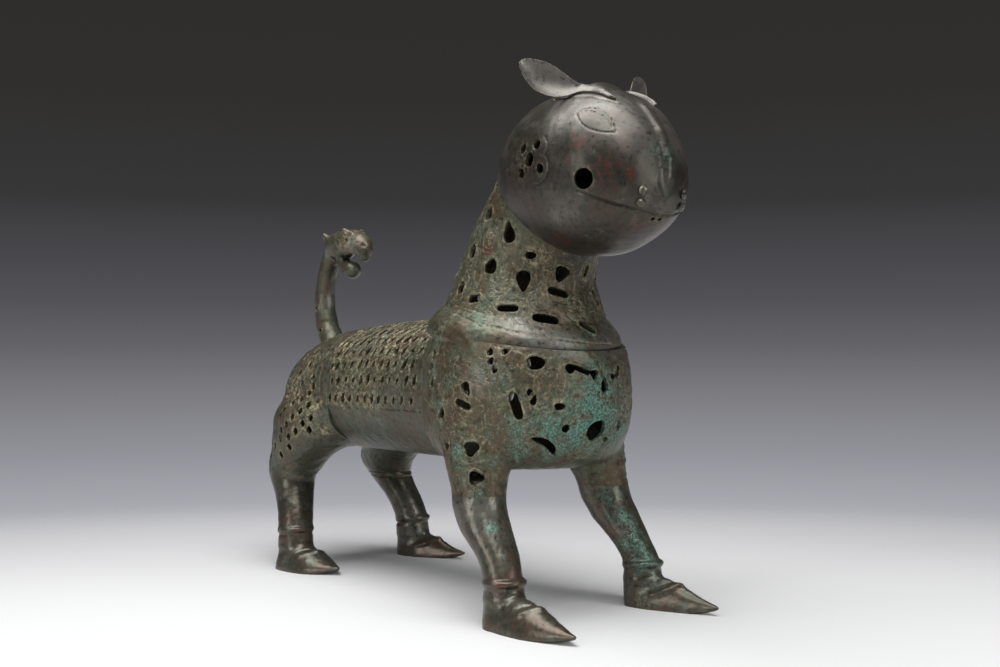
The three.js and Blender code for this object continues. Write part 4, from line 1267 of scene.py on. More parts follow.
# A point on a loft's skin, the way out of it, round it and along it. Angle 0 is ahead or down, and a
# quarter turn is the lion's left.
def onSkin(rows, share, angle, step=0.02):
    s = splined(rows)

    def at(shareHere, angleHere):
        row = s[int(np.clip(round(shareHere * loftSteps), 0, loftSteps))]
        power = 2 / row[7]
        c, w = math.cos(angleHere), math.sin(angleHere)
        long = math.copysign(abs(c) ** power, c) * (row[4] if c > 0 else row[5])
        wide = math.copysign(abs(w) ** power, w) * row[6]
        tilt = math.radians(row[3])
        return Vector((row[0] + math.cos(tilt) * long, row[1] + wide, row[2] - math.sin(tilt) * long))

    around = at(share, angle + step) - at(share, angle - step)
    along = at(min(1, share + step), angle) - at(max(0, share - step), angle)
    return at(share, angle), around.cross(along).normalized(), around.normalized(), along.normalized()


# 0 up to low, 1 from high on and smooth between them
def eased(value, low, high):
    share = np.clip((value - low) / (high - low), 0, 1)
    return share * share * (3 - 2 * share)


borderLine = {"depth": 0.5, "half": 0.5}


# An engraved border over a casting, at one share of its length or one angle round it
def border(ornament, rows, shares, angles):
    points = [onSkin(rows, share, math.radians(angle))[0] for share in shares for angle in angles]
    ornament.line(points, both=False, **borderLine)


# Breast: the round pot with the fore legs' tops, engraved with vine roundels.
# Holes are px, py, length and width in millimetres, turn in degrees, and kind.
breastLook = {
    "finish": "breastBronze", "contours": 1.0, "rough": 0.12, "seed": 11, "petals": 5, "holeGrow": 1.12,
    "lineDepth": 0.6, "lineHalf": 0.55, "legBlend": 6, "hollowBlend": 4, "scrollsFrom": (98, 116),
    "scrollsBelowCollar": (6, 9),
}
breastHoles = [
    (490, 352, 4.4, 3.6, 80, "oval"), (506, 351, 5.6, 4.0, 20, "drop"), (491, 361, 4.6, 3.6, 60, "oval"),
    (494, 369, 5.0, 3.4, 110, "drop"), (535.8, 362.7, 10.5, 8.0, 0, "oval"),
    (583, 370.5, 15.5, 4.2, -14, "slot"), (570.5, 368.4, 6.5, 5.6, 10, "oval"),
    (594.5, 374.5, 6.5, 6.0, 30, "heart"), (617.5, 371.5, 9, 4.4, 42, "slot"),
    (613, 376.5, 4.6, 4.2, 0, "oval"), (604.8, 384.4, 9.5, 6.6, 88, "drop"),
    (515.7, 405.8, 16.5, 7.0, -72, "slot"), (529.8, 392.4, 4.2, 3.4, 90, "oval"),
    (533.8, 400, 6.0, 4.0, 70, "drop"), (560, 406.7, 6.6, 4.2, 0, "oval"),
    (596, 430.6, 14.5, 11.0, 20, "oval"), (566, 428.8, 5.0, 4.8, 40, "oval"),
    (543, 447, 18, 10.0, -40, "hook"), (605.4, 439.3, 3.4, 3.4, 0, "oval"),
    (618.8, 425.9, 6.4, 4.2, 70, "oval"), (466, 389, 9.0, 6.0, -60, "drop"),
    (462.8, 404.5, 11.5, 5.6, -14, "slot"), (441.4, 413.8, 6.0, 5.2, 80, "oval"),
    (446.7, 446, 5.0, 4.6, 0, "oval"), (471, 448.6, 10.0, 8.4, 20, "heart"),
    (434, 355, 7.0, 4.4, -45, "oval"), (432, 381.7, 7.0, 5.0, 60, "drop"),
    (431, 367.5, 5.6, 4.2, 70, "oval"), (475.5, 478, 9.6, 7.6, 0, "heart"),
]
breastRings = [
    (551.9, 385.7, 11.5), (547.9, 423, 13.5), (463.5, 422, 9.5), (600, 404, 9.0), (585, 448, 9.0),
    (445, 392, 8.0),
]
breastLines = [
    [(505, 392), (510, 420), (515, 446), (518, 466)],
    [(508, 374), (514, 390), (521, 404), (526, 420), (521, 436), (526, 452)],
    [(569, 386), (580, 380), (592, 384), (598, 394), (592, 404)],
    [(560, 400), (575, 398), (588, 404), (594, 414), (588, 424)],
    [(528, 372), (537, 376), (538, 388), (532, 397)],
    [(447, 428), (455, 434), (466, 436), (478, 432), (484, 420), (482, 404), (474, 396)],
    [(482, 424), (484, 440), (478, 452), (482, 462)],
    [(495, 346), (515, 350), (527, 356)], [(545, 356), (560, 358), (572, 362)],
    [(424, 400), (432, 408), (440, 424), (440, 440)],
    [(452, 458), (468, 462), (486, 460)],
    [(612, 392), (616, 404), (612, 416), (604, 420)],
    [(575, 416), (580, 430), (576, 442), (566, 448), (556, 444)],
]
seamGap = 0.04
rim = {"below": 1.6, "inset": 1.0, "radius": 4.2, "blend": 2}  # the round rim under the collar
roundelShape = {
    "outer": {"depth": 0.6, "half": 0.5}, "inner": {"depth": 0.45, "half": 0.42}, "apart": 2.2,
    "petal": {"depth": 0.42, "half": 0.4}, "petalOut": 0.42, "petalLong": 0.34, "petalWide": 0.17,
}


def collarPlane(rise=0.0):
    axis = normalOf(collar["tilt"])
    return (collar["x"] + axis[0] * rise, 0, collar["z"] + axis[2] * rise), axis


def collarStation(rise, radius):
    (x, y, z), _ = collarPlane(rise)
    return station(x, y, z, collar["tilt"], radius, radius, radius)


# Two rings with petals inside them
def roundel(ornament, px, py, radius, petals):
    ornament.photoRing(px, py, radius, **roundelShape["outer"])
    ornament.photoRing(px, py, radius - roundelShape["apart"], **roundelShape["inner"])
    place, normal = ornament.seen(px, py)
    if place is None:
        return
    for step in range(petals):
        turn = 2 * math.pi * step / petals
        petal = ornament.spot(place, normal, viewRight * math.cos(turn) + viewUp * math.sin(turn))
        petal["at"] = petal["at"] + petal["along"] * (roundelShape["petalOut"] * radius)
        long, wide = roundelShape["petalLong"] * radius, roundelShape["petalWide"] * radius
        for spot in (petal, ornament.mirrorSpot(petal)):
            ornament.ring(spot, long, wide, **roundelShape["petal"])


# The holes, roundels and lines that a casting's look and the photograph give it
def pierceAndEngrave(ornament, look, holes, rings, lines):
    ornament.photoHoles(holes, look["holeGrow"])
    for px, py, radius in rings:
        roundel(ornament, px, py, radius, look["petals"])
    for pixels in lines:
        ornament.photoLine(pixels, look["lineDepth"], look["lineHalf"])


def breast():
    low, high = (-16, -78, 74), (140, 78, 200)
    clay = Clay(low, high, grain["fine"])
    clay.add(clay.loft(potStations))
    for rows in (foreStations, mirrored(foreStations)):
        clay.add(clay.loft(rows), blend=breastLook["legBlend"])
    turn = np.radians(np.arange(0, 361, 6))
    seat, axis = collarPlane(-rim["below"])
    reach = collar["radius"] - rim["inset"]
    ahead, across = reach * np.cos(turn), reach * np.sin(turn)
    points = np.stack([seat[0] + ahead * axis[2], across, seat[2] - ahead * axis[0]], -1)
    clay.add(clay.tube(points, [rim["radius"]] * len(turn)), blend=rim["blend"])
    clay.cut(clay.loft(barrelStations, fit, (60, fit)))
    skin = clay.skin()
    inner = Clay(low, (high[0], high[1], high[2] + 8), grain["hollow"])
    inner.add(inner.loft(potStations, -wall, (-wall, 20)))
    for rows in (foreStations, mirrored(foreStations)):
        stub = inner.loft(rows, -wall - legHollow["thicker"], legHollow["ends"])
        inner.add(stub, blend=breastLook["hollowBlend"])
    ornament = Ornament(*skin, shy=True)
    pierceAndEngrave(ornament, breastLook, breastHoles, breastRings, breastLines)

    def ornate(verts):
        seat, axis = collarPlane()
        below = eased(-((verts - seat) @ np.array(axis)), *breastLook["scrollsBelowCollar"])
        return eased(verts[:, 2], *breastLook["scrollsFrom"]) * below

    cuts = (collarPlane(), ((0, 0, fore["knee"]), (0, 0, -1)))
    return casting("breast", skin, inner.skin(), ornament, breastLook, "breast_shell", "body", cuts, ornate)


# Neck: a sloping cone with drop-shaped and long holes, and a rolled collar at its foot
neckLook = {
    "finish": "breastBronze", "contours": 1.0, "rough": 0.11, "seed": 21, "petals": 4, "holeGrow": 1.12,
    "lineDepth": 0.6, "lineHalf": 0.55, "collarBlend": 3, "scrollsAboveCollar": (9, 13),
}
neckHoles = [
    (489, 213.6, 8.6, 7.0, 78, "oval"), (508.8, 231.8, 13.0, 9.0, 98, "drop"),
    (472.5, 252, 9.6, 7.2, 72, "oval"), (490.6, 266.6, 9.4, 8.6, 60, "oval"),
    (461, 288, 8.6, 6.6, 75, "oval"), (474.2, 298.7, 8.6, 6.0, -5, "slot"),
    (523.3, 281.5, 13.0, 9.4, -90, "drop"), (507.6, 308.2, 13.0, 5.4, -5, "slot"),
    (545.8, 319, 16.0, 6.8, -6, "slot"), (530.6, 255.5, 6.6, 4.6, 0, "oval"),
    (562, 273.6, 10.0, 9.0, 0, "heart"), (558.5, 292.4, 14.0, 6.0, -8, "slot"),
    (586.4, 271, 8.0, 4.2, 85, "oval"), (595.5, 297.3, 11.0, 6.6, -35, "slot"),
    (587.6, 327, 12.0, 5.8, -8, "slot"), (498, 182, 7.4, 5.6, 80, "oval"),
]
neckRings = [
    (538, 300, 7.5), (503, 281, 7.0), (575, 310, 7.5), (490, 238, 6.5), (546, 262, 6.0), (485, 318, 6.5),
]
neckLines = [
    [(452, 312), (475, 322), (500, 328), (530, 334), (560, 339), (590, 343), (612, 344)],
    [(455, 305), (480, 312), (500, 319)],
    [(497, 225), (500, 245), (507, 258), (503, 270)],
    [(512, 262), (514, 274), (506, 292), (492, 296)],
    [(540, 270), (546, 282), (542, 298)], [(575, 282), (572, 300), (580, 312)],
    [(480, 262), (474, 275), (478, 288)], [(520, 300), (528, 308), (524, 320)],
]
collarRoll = [(0, 2.4), (2.4, 2.2), (5.5, 1.0), (9.5, -2.0), (14, -6.5)]  # rise, and how far it stands out
napeHole = {"length": 10, "width": 7}
napeHoles = [(0.3, 150), (0.52, 165), (0.3, 180), (0.66, 150), (0.45, 130)]  # share of the rise, degrees


def neck():
    low, high = (-8, -70, 160), (138, 70, 312)
    clay = Clay(low, high, grain["fine"])
    clay.add(clay.loft(neckStations, 0, (12, 20)))
    roll = [collarStation(rise, collar["radius"] + out) for rise, out in collarRoll]
    clay.add(clay.loft(roll, 0, (3, 0)), blend=neckLook["collarBlend"])
    skin = clay.skin()
    inner = Clay(low, high, grain["hollow"])
    inner.add(inner.loft(neckStations, -wall, (30, 30)))
    ornament = Ornament(*skin, shy=True)
    pierceAndEngrave(ornament, neckLook, neckHoles, neckRings, neckLines)
    for share, angle in napeHoles:
        place, normal, _, along = onSkin(neckStations, share, math.radians(angle))
        ornament.hole("drop", ornament.spot(place, normal, along), napeHole["length"], napeHole["width"])

    def ornate(verts):
        seat, up = collarPlane()
        return eased((verts - seat) @ np.array(up), *neckLook["scrollsAboveCollar"])

    seat, up = collarPlane(seamGap)
    cuts = ((seat, [-part for part in up]), ((seam["x"], 0, seam["z"]), normalOf(seam["tilt"])))
    return casting("neck", skin, inner.skin(), ornament, neckLook, "neck_shell", "body", cuts, ornate)


# Barrel: rows of leaf-shaped slits over the back, each in an engraved scale
barrelLook = {
    "finish": "trunkBronze", "contours": 0.35, "rough": 0.10, "seed": 31, "collarGap": 0.6,
    "scrolls": 0.7, "scrollsFrom": (132, 138), "scrollsAheadOfSeam": (2, 6),
}
tongueReach = {"behind": 8, "ahead": 9}  # how far the tongue runs from the seam into the rump and the barrel
backPanel = {
    "columns": 12, "rows": 17, "start": 0.04, "end": 0.90, "lowest": 83, "length": 8.6, "width": 4.2,
    "lean": 26, "scaleLong": 6.0, "scaleWide": 4.4, "scaleFrom": 75, "scaleTo": 285, "scaleDepth": 0.6,
    "scaleHalf": 0.5, "uneven": 0.28, "astray": 0.7, "seed": 5,
}
backBorder = {"lowest": 76, "rearLine": 0.015, "sideFrom": 0.02, "to": 0.93, "every": 4}


def barrel():
    low, high = (-118, -60, 90), (32, 60, 200)
    clay = Clay(low, high, grain["fine"])
    clay.add(clay.loft(barrelStations, 0, (20, 0)))
    seat = collar["radius"] + collarRoll[0][1] + barrelLook["collarGap"]
    clay.cut(clay.loft([collarStation(rise, seat) for rise in (-fit, 40)], 0, (0, 0)))
    skin = clay.skin(1)
    inner = Clay((low[0] - 6, *low[1:]), (high[0] + 6, *high[1:]), grain["hollow"])
    inner.add(inner.loft(barrelStations, -wall, (20, 20)))
    tongue = Clay((-124, -56, 92), (-100, 56, 194), grain["hollow"])
    tongue.add(tongue.loft(rumpStations, -wall - fit, (0, tongueReach["ahead"])))
    tongue.cut(tongue.loft(rumpStations, -2 * wall - fit, (0, 30)))
    tongue.keep(-tongue.plane((rumpSeam - tongueReach["behind"], 0, 0), (1, 0, 0)))
    ornament = Ornament(*skin)
    columns, rows = backPanel["columns"], backPanel["rows"]
    rng = np.random.default_rng(backPanel["seed"])
    for c in range(columns):
        for r in range(rows):
            step = (c + 0.5 * (r % 2)) / columns
            share = backPanel["start"] + (backPanel["end"] - backPanel["start"]) * step
            angle = math.radians(backPanel["lowest"] + (360 - 2 * backPanel["lowest"]) * r / (rows - 1))
            place, normal, around, along = onSkin(barrelStations, share, angle)
            upward = around if angle < math.pi else -around
            lean = math.radians(backPanel["lean"])
            direction = upward * math.cos(lean) + along * math.sin(lean)
            place = place + along * rng.uniform(-1, 1) * backPanel["astray"]
            grow = 1 + rng.uniform(-1, 1) * backPanel["uneven"]
            spot = ornament.spot(place, normal, direction)
            ornament.hole("lozenge", spot, backPanel["length"] * grow, backPanel["width"] * grow, False)
            spot = ornament.spot(place, normal, upward)
            ornament.ring(
                spot, backPanel["scaleLong"], backPanel["scaleWide"], backPanel["scaleDepth"],
                backPanel["scaleHalf"], backPanel["scaleFrom"], backPanel["scaleTo"],
            )
    first, last = backBorder["lowest"], 360 - backBorder["lowest"]
    for angle in (first, last):
        border(ornament, barrelStations, np.linspace(backBorder["sideFrom"], backBorder["to"], 40), (angle,))
    for share in (backBorder["rearLine"], backBorder["to"]):
        border(ornament, barrelStations, (share,), range(first, last + 1, backBorder["every"]))

    def ornate(verts):
        fromSeam = eased(verts[:, 0] - rumpSeam, *barrelLook["scrollsAheadOfSeam"])
        return barrelLook["scrolls"] * eased(verts[:, 2], *barrelLook["scrollsFrom"]) * fromSeam

    cuts = (((rumpSeam + seamGap, 0, 0), (-1, 0, 0)),)
    hollow = inner.skin()
    inserts = (meshObject("barrel_tongue", *tongue.skin(1)),)
    return casting(
        "barrel", skin, hollow, ornament, barrelLook, "barrel_shell", "body", cuts, ornate, inserts,
    )


# Rump: a pear-shaped field of small lozenge holes on each haunch, and rows of them round the tail
rumpLook = {
    "finish": "trunkBronze", "contours": 0.3, "rough": 0.10, "seed": 41, "length": 6.6, "width": 4.7,
    "turn": 84, "legBlend": 15, "hollowBlend": 8, "scrolls": 0.55, "scrollsFrom": (104, 120),
    "scrollsBehindSeam": (8, 14),
}
tailField = {  # the rows of holes over the back, as shares of the rump's length, with room for the tail
    "rows": (0.34, 0.46, 0.58, 0.70, 0.82), "eachSide": 3, "apart": 11, "bareHalf": 9, "bareBehind": -180,
}
rumpBorder = {"lines": (0.93, 0.985), "lowest": 66, "every": 4}
rumpHoles = [
    (288, 395), (293, 402.5), (284, 409.5), (292, 417), (309, 393), (308, 405), (300, 411), (310, 418),
    (286, 424), (281, 431), (295, 431), (288, 437), (309, 430), (275, 446), (289, 447), (280, 416),
    (295, 381), (300, 372.5), (310, 365), (313, 377), (302, 385), (297, 392), (301, 399), (302, 423.5),
    (280, 438), (282, 402), (288, 384), (281, 455), (271, 455), (306, 357), (316, 352), (313, 386),
]


def rump():
    low, high = (-226, -76, 66), (-104, 76, 196)
    clay = Clay(low, high, grain["fine"])
    clay.add(clay.loft(rumpStations, 0, (0, 30)))
    for rows in (hindStations, mirrored(hindStations)):
        clay.add(clay.loft(rows), blend=rumpLook["legBlend"])
    skin = clay.skin()
    inner = Clay(low, (high[0] + 10, *high[1:]), grain["hollow"])
    inner.add(inner.loft(rumpStations, -wall, (-wall, 30)))
    for rows in (hindStations, mirrored(hindStations)):
        stub = inner.loft(rows, -wall - legHollow["thicker"], legHollow["ends"])
        inner.add(stub, blend=rumpLook["hollowBlend"])
    ornament = Ornament(*skin)
    ornament.photoHoles([
        (px, py, rumpLook["length"], rumpLook["width"], rumpLook["turn"], "lozenge") for px, py in rumpHoles
    ])
    for row, share in enumerate(tailField["rows"]):
        for step in range(-tailField["eachSide"], tailField["eachSide"] + 1):
            angle = math.radians(180 + tailField["apart"] * (step + 0.5 * (row % 2)))
            place, normal, _, along = onSkin(rumpStations, share, angle)
            if abs(place.y) < tailField["bareHalf"] and place.x < tailField["bareBehind"]:
                continue
            spot = ornament.spot(place, normal, along)
            ornament.hole("lozenge", spot, rumpLook["length"], rumpLook["width"], False)
    for share in rumpBorder["lines"]:
        angles = range(rumpBorder["lowest"], 360 - rumpBorder["lowest"] + 1, rumpBorder["every"])
        border(ornament, rumpStations, (share,), angles)

    def ornate(verts):
        fromSeam = eased(rumpSeam - verts[:, 0], *rumpLook["scrollsBehindSeam"])
        return rumpLook["scrolls"] * eased(verts[:, 2], *rumpLook["scrollsFrom"]) * fromSeam

    cuts = (((rumpSeam, 0, 0), (1, 0, 0)), ((0, 0, hind["knee"]), (0, 0, -1)))
    return casting("rump", skin, inner.skin(), ornament, rumpLook, "rump_shell", "body", cuts, ornate)


# Head: a smooth egg with a nose ridge, a crest between the ears, engraved almond eyes and a mouth line,
# a round hole in each cheek and a rosette of smaller ones behind it
headLook = {
    "finish": "headBronze", "contours": 0.08, "rough": 0.03, "seed": 51, "thicker": 0.4, "relaxed": 3,
    "lineDepth": 0.6, "lineHalf": 0.4, "mouthDepth": 1.1, "mouthHalf": 0.8, "earFootDepth": 1.0,
    "earFootHalf": 0.7,
}
headHoles = [
    (583, 178.5, 12.4, 12.8, 0, "round"), (523, 148.5, 7.0, 5.6, 65, "oval"),
    (536.5, 144.5, 6.4, 5.6, 20, "oval"), (529, 159.5, 9.4, 7.6, 70, "oval"),
    (539.5, 168.5, 6.4, 5.6, 110, "oval"), (521, 173.5, 6.8, 5.6, 120, "oval"),
    (653, 219.5, 3.0, 3.0, 0, "round"),
]
headLines = [
    [(576, 113), (582, 109), (592, 107.5), (604, 111), (612, 119), (617, 132)],
    [(576, 113), (579, 120), (586, 127), (597, 131), (608, 132.5), (617, 132)],
    [(581, 112), (588, 110.5), (600, 113.5), (608, 120), (613, 128)],
    [(544, 136), (547, 142), (546, 150), (543, 155)],
    [(541, 154), (546, 157), (548, 166), (546, 176), (540, 183), (534, 184)],
]
earFootLine = [(554, 99.2), (566, 98.4), (575, 96.4), (586, 95.6), (598, 97.6), (609, 100.6), (616, 102.4)]
mouthLine = [(577, 191), (590, 195), (603, 200), (618, 205), (632, 209), (646, 213), (658, 216)]
noseRidge = [  # places from the forehead down, and the ridge's radius there
    ((158, 1, 328.5), 3.5), ((173, 2, 318), 5.5), ((185.5, 2, 302), 6.3), ((191.8, 2, 286), 6.6),
    ((192.4, 2, 276), 6.2), ((190, 2, 266), 5.2), ((186, 2, 258), 4),
]
nose = {"broad": 0.85, "blend": 2.5}
crestRows = [  # ahead of the head's middle, below the crown, tilt, height and half width
    (-3, 5, 90, 3, 10), (11, 3, 92, 5.5, 12), (27, 9, 100, 2, 9),
]
crest = {"deep": 8, "blend": 4}


def headCasting():
    low, high = (52, -56, 226), (208, 56, 346)
    clay = Clay(low, high, grain["fine"])
    clay.add(clay.loft(headStations))
    places, radii = zip(*noseRidge)
    clay.add(clay.tube(places, radii, nose["broad"]), blend=nose["blend"])
    crown = head["z"] + head["rise"]
    clay.add(clay.loft([
        station(head["x"] + ahead, 0, crown - below, tilt, crest["deep"], height, wide)
        for ahead, below, tilt, height, wide in crestRows
    ]), blend=crest["blend"])
    skin = clay.skin(headLook["relaxed"])
    inner = Clay((low[0] - 10, *low[1:]), high, grain["hollow"])
    inner.add(inner.loft(headStations, -wall - headLook["thicker"], (-wall, -wall - 1)))
    ornament = Ornament(*skin)
    ornament.photoHoles(headHoles)
    for pixels in headLines:
        ornament.photoLine(pixels, headLook["lineDepth"], headLook["lineHalf"])
    ornament.photoLine(mouthLine, headLook["mouthDepth"], headLook["mouthHalf"])
    ornament.photoLine(earFootLine, headLook["earFootDepth"], headLook["earFootHalf"])
    axis = normalOf(seam["tilt"])
    cut = ((seam["x"] + axis[0] * fit, 0, seam["z"] + axis[2] * fit), [-part for part in axis])
    casting("head", skin, inner.skin(), ornament, headLook, "head_shell", "head", (cut,))
    return ornament


# Lower legs: shank, ankle ring and a long pointed hoof, flared to a sharp edge on the ground. A hoof is a
# loft along eight rows from the heel on: heights of its top, its middle and how far it goes on below, and
# its width as a share of the widest. No two hooves are alike: heel and toe are how far each reaches from
# the ankle, low makes the top lower, ring is the ankle ring's height, and turn is how many degrees its
# toe points to the lion's left.
hoofTops = [6, 16, 20, 21, 19.3, 16.2, 11.8, 8.6]
hoofMiddles = [0, 0, 0, 0, 0, 0.3, 1.4, 3.2]
hoofUnders = [6, 8, 8, 8, 8, 4, 2.6, 1.8]
broad = (0.30, 0.72, 0.95, 1.0, 0.98, 0.88, 0.66, 0.35)
slender = (0.30, 0.72, 0.95, 1.0, 0.84, 0.67, 0.48, 0.27)
hoofRow = {"fromHeel": (0, 4), "fromAnkle": (-1, 11), "toToe": (0.38, 0.54, 0.70, 0.86), "square": 1.8}
hoofTip = {"under": 0.9, "above": 1.2, "wide": 1.2}
hoofBlend = 4
ankleRows = [(-2, 4, 2), (4, 1, 0), (19, 0, 0)]  # height, and how much less than the ankle, along and across
ankleRing = {"inset": 1.5, "radius": 2.2, "blend": 1.6}
ringGroove = {"outside": 2.4, "below": 3.4, "radius": 1.2, "blend": 1.2}
twist = {"from": 15, "belowRing": 2}
brim = {  # the raised edge over the toes, as a bar from side to side
    "at": 0.52, "row": 5, "sideBack": 22, "sideIn": 2.5, "sideHigh": 7, "cornerBack": 8, "cornerOut": 0.66,
    "cornerLow": 3.5, "above": 0.6, "radii": (0.8, 1.5, 1.7, 1.5, 0.8), "blend": 2.5,
}
fold = {  # the hollow line behind that edge
    "sideBack": 15, "sideOut": 0.74, "sideLow": 0.5, "middleBack": 4, "above": 3.6, "radii": (0.7, 1.1, 0.7),
    "blend": 1.6,
}
kneeLines = {"hind_leg_left": (3.5, 7.5)}  # how far below the knee
kneeLine = {"along": 19, "across": 18, "depth": 0.8, "half": 0.6}
hooves = {
    "fore_leg_right": {
        "heel": 11.5, "toe": 67, "turn": 0, "wide": 15.4, "shares": broad, "low": 1.0, "ring": 27.5,
    },
    "fore_leg_left": {
        "heel": 11.5, "toe": 60, "turn": 10, "wide": 13.8, "shares": slender, "low": 1.0, "ring": 27.5,
    },
    "hind_leg_right": {
        "heel": 12.5, "toe": 54, "turn": 8, "wide": 18.3, "shares": broad, "low": 0.9, "ring": 30,
    },
    "hind_leg_left": {
        "heel": 12.5, "toe": 54, "turn": 17, "wide": 14.1, "shares": slender, "low": 0.9, "ring": 30,
    },
}


# Turns a hoof about its ankle, fully up to low and not at all from high on
def twisted(verts, x, y, turn, low, high):
    angle = math.radians(turn) * (1 - eased(verts[:, 2], low, high))
    c, s = np.cos(angle), np.sin(angle)
    ahead, across = verts[:, 0] - x, verts[:, 1] - y
    return np.stack([x + ahead * c - across * s, y + ahead * s + across * c, verts[:, 2]], -1)


# Points round a leg, on a ring that stands a little higher in front
def hoop(x, y, z, radius, lean=1.0):
    turn = np.radians(np.arange(0, 361, 15))
    return np.stack([x + radius * np.cos(turn), y + radius * np.sin(turn), z + lean * np.cos(turn)], -1)


# Side is -1 for a right leg and 1 for a left one
def lowerLeg(name, rows, size, side, seed):
    legLook = {"finish": "legBronze", "contours": 0.0, "rough": 0.05, "seed": seed}
    shape = hooves[name]
    if side < 0:
        rows = mirrored(rows)
    x, y = size["ankleX"], side * size["ankleY"]
    farBack = min(row[0] - row[5] for row in rows[:6]) - 4
    roomLow = (min(farBack, x - size["heel"] - 6), min(y, rows[5][1]) - 27, -3)
    roomHigh = (x + size["toe"] + 4, max(y, rows[5][1]) + 26, size["knee"] + 4)
    clay = Clay(roomLow, roomHigh, grain["leg"])
    clay.add(clay.loft(rows, 0, (0, 0)))
    clay.add(clay.loft([
        station(x, y, z, 0, ankle - along, ankle - along, ankle - across) for z, along, across in ankleRows
    ], 0, (0, 0)), blend=1)
    wide = shape["wide"]
    toe = shape["toe"]
    low = shape["low"]
    places = [step - shape["heel"] for step in hoofRow["fromHeel"]]
    places += [*hoofRow["fromAnkle"], *(share * toe for share in hoofRow["toToe"])]
    square = hoofRow["square"]
    heights = zip(hoofTops, hoofMiddles, hoofUnders)
    hoof = [
        station(x + ahead, y, middle, 90, under, top * low - middle, wide * share, square)
        for ahead, share, (top, middle, under) in zip(places, shape["shares"], heights)
    ]
    hoof.append(station(
        x + toe, y, leg["toeLift"], 90, hoofTip["under"], hoofTip["above"], hoofTip["wide"], square,
    ))
    clay.add(clay.loft(hoof, 0, (0, 0)), blend=hoofBlend)
    bead = ankle - ankleRing["inset"]
    band = hoop(x, y, shape["ring"], bead)
    clay.add(clay.tube(band, [ankleRing["radius"]] * len(band)), blend=ankleRing["blend"])
    groove = hoop(x, y, shape["ring"] - ringGroove["below"], bead + ringGroove["outside"])
    clay.cut(clay.tube(groove, [ringGroove["radius"]] * len(groove)), blend=ringGroove["blend"])
    front = x + brim["at"] * toe
    top = hoofTops[brim["row"]] * low
    corner = brim["cornerOut"] * wide
    clay.add(clay.tube([
        (front - brim["sideBack"], y - wide + brim["sideIn"], brim["sideHigh"]),
        (front - brim["cornerBack"], y - corner, top - brim["cornerLow"]),
        (front, y, top + brim["above"]),
        (front - brim["cornerBack"], y + corner, top - brim["cornerLow"]),
        (front - brim["sideBack"], y + wide - brim["sideIn"], brim["sideHigh"]),
    ], brim["radii"]), blend=brim["blend"])
    clay.cut(clay.tube([
        (front - fold["sideBack"], y - fold["sideOut"] * wide, top - fold["sideLow"]),
        (front - fold["middleBack"], y, top + fold["above"]),
        (front - fold["sideBack"], y + fold["sideOut"] * wide, top - fold["sideLow"]),
    ], fold["radii"]), blend=fold["blend"])
    verts, quads = clay.skin()
    verts = twisted(verts, x, y, shape["turn"], twist["from"], shape["ring"] - twist["belowRing"])
    spigotTop = size["knee"] + leg["spigot"]
    stub = Clay((*roomLow[:2], size["knee"] - 4), (*roomHigh[:2], spigotTop + 3), grain["hollow"])
    stub.add(stub.loft(rows, -wall - legHollow["thicker"] - fit, (0, 0)))
    stub.keep(stub.plane((0, 0, spigotTop), (0, 0, 1)))
    ornament = Ornament(verts, quads)
    calf = rows[4]
    for below in kneeLines.get(name, ()):
        nearby = [
            (calf[0] + kneeLine["along"] * a, calf[1] + kneeLine["across"] * b, size["knee"] - below)
            for a, b, _ in hoop(0, 0, 0, 1)
        ]
        points = [ornament.tree.find_nearest(Vector(point))[0] for point in nearby]
        ornament.line(points, kneeLine["depth"], kneeLine["half"], both=False)
    cuts = (((0, 0, size["knee"] - seamGap), (0, 0, 1)), ((0, 0, 0), (0, 0, -1)))
    inserts = (meshObject(name + "_spigot", *stub.skin(1)),)
    skin = (verts, quads)
    return casting("lower_" + name, skin, None, ornament, legLook, name, "body", cuts, None, inserts)


# Tail: a bent stem with a small open-mouthed beast's head, and a keyed tenon inside the rump
tailLook = {"finish": "trunkBronze", "contours": 0.3, "rough": 0.08, "seed": 71}
tailStem = [
    ((-197, 0, 177), 10.2), ((-205.5, 0, 190), 9.4), ((-210, 0, 204), 8.8), ((-210.4, 0, 218), 8.3),
    ((-206.5, 0, 234), 7.8), ((-200, 0, 246), 8.0), ((-190, 0, 255), 9.5),
]
beastMiddle = {  # in order: added or cut, as a bent bar or a ball, its places, its radii and its blend
    "skull": ("add", "ball", (-184, 0, 257), (14, 12.5, 12), 5),
    "muzzle": ("add", "bar", [(-178, 0, 258.5), (-163, 0, 259), (-152, 0, 256.5)], [11, 10.5, 8.6], 4),
    "upperLip": ("add", "bar", [(-152, 0, 256), (-147, 0, 252), (-146, 0, 246.5)], [8, 7, 4.2], 3),
    "jaw": ("add", "bar", [(-186, 0, 248), (-176, 0, 240), (-166, 0, 237)], [5.5, 5.5, 6.4], 3),
    "chin": ("add", "ball", (-165, 0, 236), (7, 6.5, 6.4), 2),
    "mouth": ("cut", "bar", [(-176, 0, 248.5), (-163, 0, 246.5), (-152, 0, 244)], [2.4, 3.6, 4], 2),
}
beastSides = {
    "ear": ("add", "bar", [(-191, 8, 263), (-194, 10, 266)], [3.4, 2.4], 1.5),
    "eye": ("add", "ball", (-163, 8.5, 264), (3.6, 2.6, 3.2), 1.2),
    "brow": ("add", "bar", [(-173, 8, 267), (-165, 8, 268.5), (-157, 6, 266)], [1.6, 2.0, 1.4], 1.5),
    "nostril": ("cut", "ball", (-142, 4, 255), (1.8, 1.6, 1.6), 1),
    "cheek": ("cut", "bar", [(-186, 14, 246), (-184, 5, 246)], [2.4, 2.0], 1),
}
tenon = {"x": -197, "bottom": 161, "top": 184, "radius": 5}
keyHole = {"z": 166.5, "radius": 1.9, "reach": 14}
tailHoles = [(316, 308, 3.6, 3.0, 90, "oval"), (320, 331, 4.0, 3.0, 90, "oval")]


